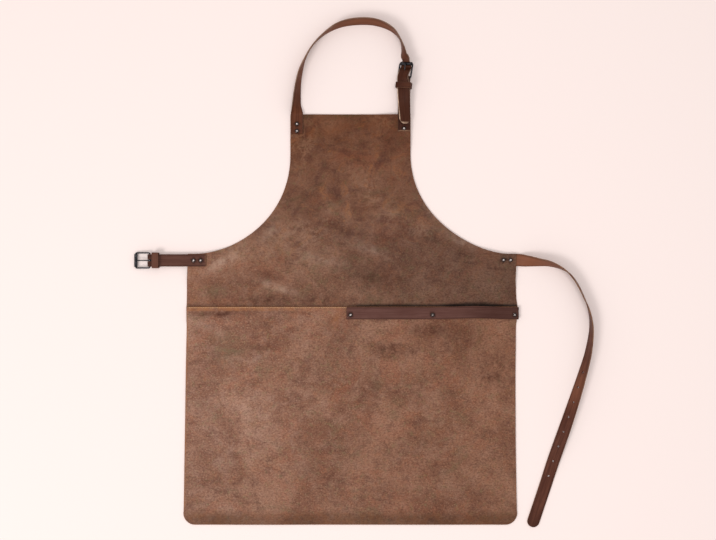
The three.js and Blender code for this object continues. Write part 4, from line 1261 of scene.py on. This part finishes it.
def neck_rows():
    rows = [(-BIB_SIDE, BIB_RISE - back, FRONT_STRAP, 0) for back in (NECK_LAP, NECK_LAP / 2, 1)]
    for across, rise, lean, lift in NECK_ROUTE:
        rows.append((across * BIB_SIDE, BIB_RISE + rise * NECK_LOOP_RISE, lift * FRONT_STRAP, lean))
    heel = np.array([NECK_PLACE[0], NECK_PLACE[1], NECK_HEEL])
    for along, under, over, lean, aside in NECK_BUCKLE_ROUTE:
        height = over * FOLD_SEAT - under * ROLLER_SEAT
        centre = NECK_FACING @ np.array([aside, along * BUCKLE_REACH, height]) + heel
        rows.append((centre[0], centre[1], max(0, resting_lift(centre, lean)), lean))
    for away, lean in TONGUE_ROUTE:
        spot = NECK_SPINE(away * TONGUE_LENGTH)
        turned = math.radians(lean - spot["roll"])
        clear = spot["spread"] + STRAP_THICKNESS + GAP + TONGUE_GAP + abs(math.sin(turned)) * STRAP_WIDTH / 2
        centre = spot["centre"] + spot["face"] * clear
        x = centre[0] + NECK_PLACE[0] + (STRAP_WIDTH / 2) * (1 - math.cos(turned))
        rows.append((x, centre[1] + NECK_PLACE[1], resting_lift(centre, lean), lean))
    return rows


def neck_strap():
    track = Track(neck_rows())
    points, faces, attributes = strap_mesh(track.stations())
    along, across = attributes["track"][:, 0], attributes["track"][:, 1]
    end = track.length
    # Painted light on the loop of the neck strap, whose face turns towards the lamp.
    loop = smooth_between(along, 70, 130) * (1 - smooth_between(along, end - 220, end - 170))
    free = smooth_between(along, end - 150, end - 100)
    left = smooth_between(-across, 11.0, 12.0)
    tip = smooth_between(along, end - 5, end - 1)
    marked = free * np.maximum(left, tip)
    rings = 0.9 * rivet_shade_rings(points[:, 0], points[:, 1], NECK_RIVETS)
    attributes["painted_light"] = 0.17 * loop
    raise_to(attributes, "dusk", 0.6 * free * (1 - marked), rings)
    attributes["edge"] = np.maximum(0.2 * attributes["edge"], 0.85 * marked)
    strap = add_strap("neck_strap", points, faces, NECK_LEATHER, "neck_strap", attributes)
    lifted = rotation(PRONG_RISE, 0, 0)
    middle = lifted @ (PRONG_LENGTH / 2 * ACROSS) + PRONG_ROOT * ACROSS
    axis = NECK_FACING @ lifted @ ACROSS
    centre = NECK_FACING @ middle + np.array([NECK_PLACE[0], NECK_PLACE[1], NECK_HEEL])
    cut_away(strap, [cylinder(centre, axis, PRONG_RADIUS + GAP, PRONG_LENGTH / 2, 20)])


def waist_strap():
    rows = [(WAIST_RIGHT - back, WAIST_STRAP_Y, UNDER_STRAP, 0) for back in (WAIST_LAP, WAIST_LAP / 2, 1)]
    for across, drop, lean, lift in WAIST_ROUTE:
        x = WAIST_RIGHT + across * WAIST_STRAP_REACH
        rows.append((x, WAIST_STRAP_Y - drop * WAIST_STRAP_DROP, lift * UNDER_STRAP, lean))
    track = Track(rows)
    points, faces, attributes = strap_mesh(track.stations())
    along = attributes["track"][:, 0]
    # Painted light where the strap leaves the panel and at its far bend, where its face turns towards the
    # lamp.
    near_panel_light = 0.32 * (1 - smooth_between(along, 70, 190))
    bend = 0.16 * smooth_between(along, 330, 390) * (1 - smooth_between(along, 400, 460))
    attributes["painted_light"] = near_panel_light + bend
    raise_to(attributes, "dusk", 0.4 * smooth_between(along, track.length - 60, track.length))
    strap = add_strap("waist_strap", points, faces, WAIST_LEATHER, "waist_strap", attributes)
    holes = []
    for i in range(HOLE_COUNT):
        place = track.station(track.length - HOLE_FROM_TIP - i * HOLE_PITCH)
        holes.append(cylinder(place["centre"], place["face"], HOLE_RADIUS, STRAP_THICKNESS, 24))
    cut_away(strap, holes)


towel_strip()
add_rivets(
    "towel_rivet", TOWEL_RIVETS,
    SEAM_STEP - GAP, SEAM_TOP + STRAP_THICKNESS + GAP, glint_strength=(1.0, 0.3, 0.6),
)
waist_buckle()
neck_buckle()
neck_strap()
add_rivets("neck_rivet", NECK_RIVETS, RIVET_BACK, FRONT_STRAP + STRAP_THICKNESS + GAP)
waist_strap()
add_rivets("waist_rivet", WAIST_RIVETS, RIVET_BACK, OVER_STRAP + PANEL_THICKNESS + GAP)
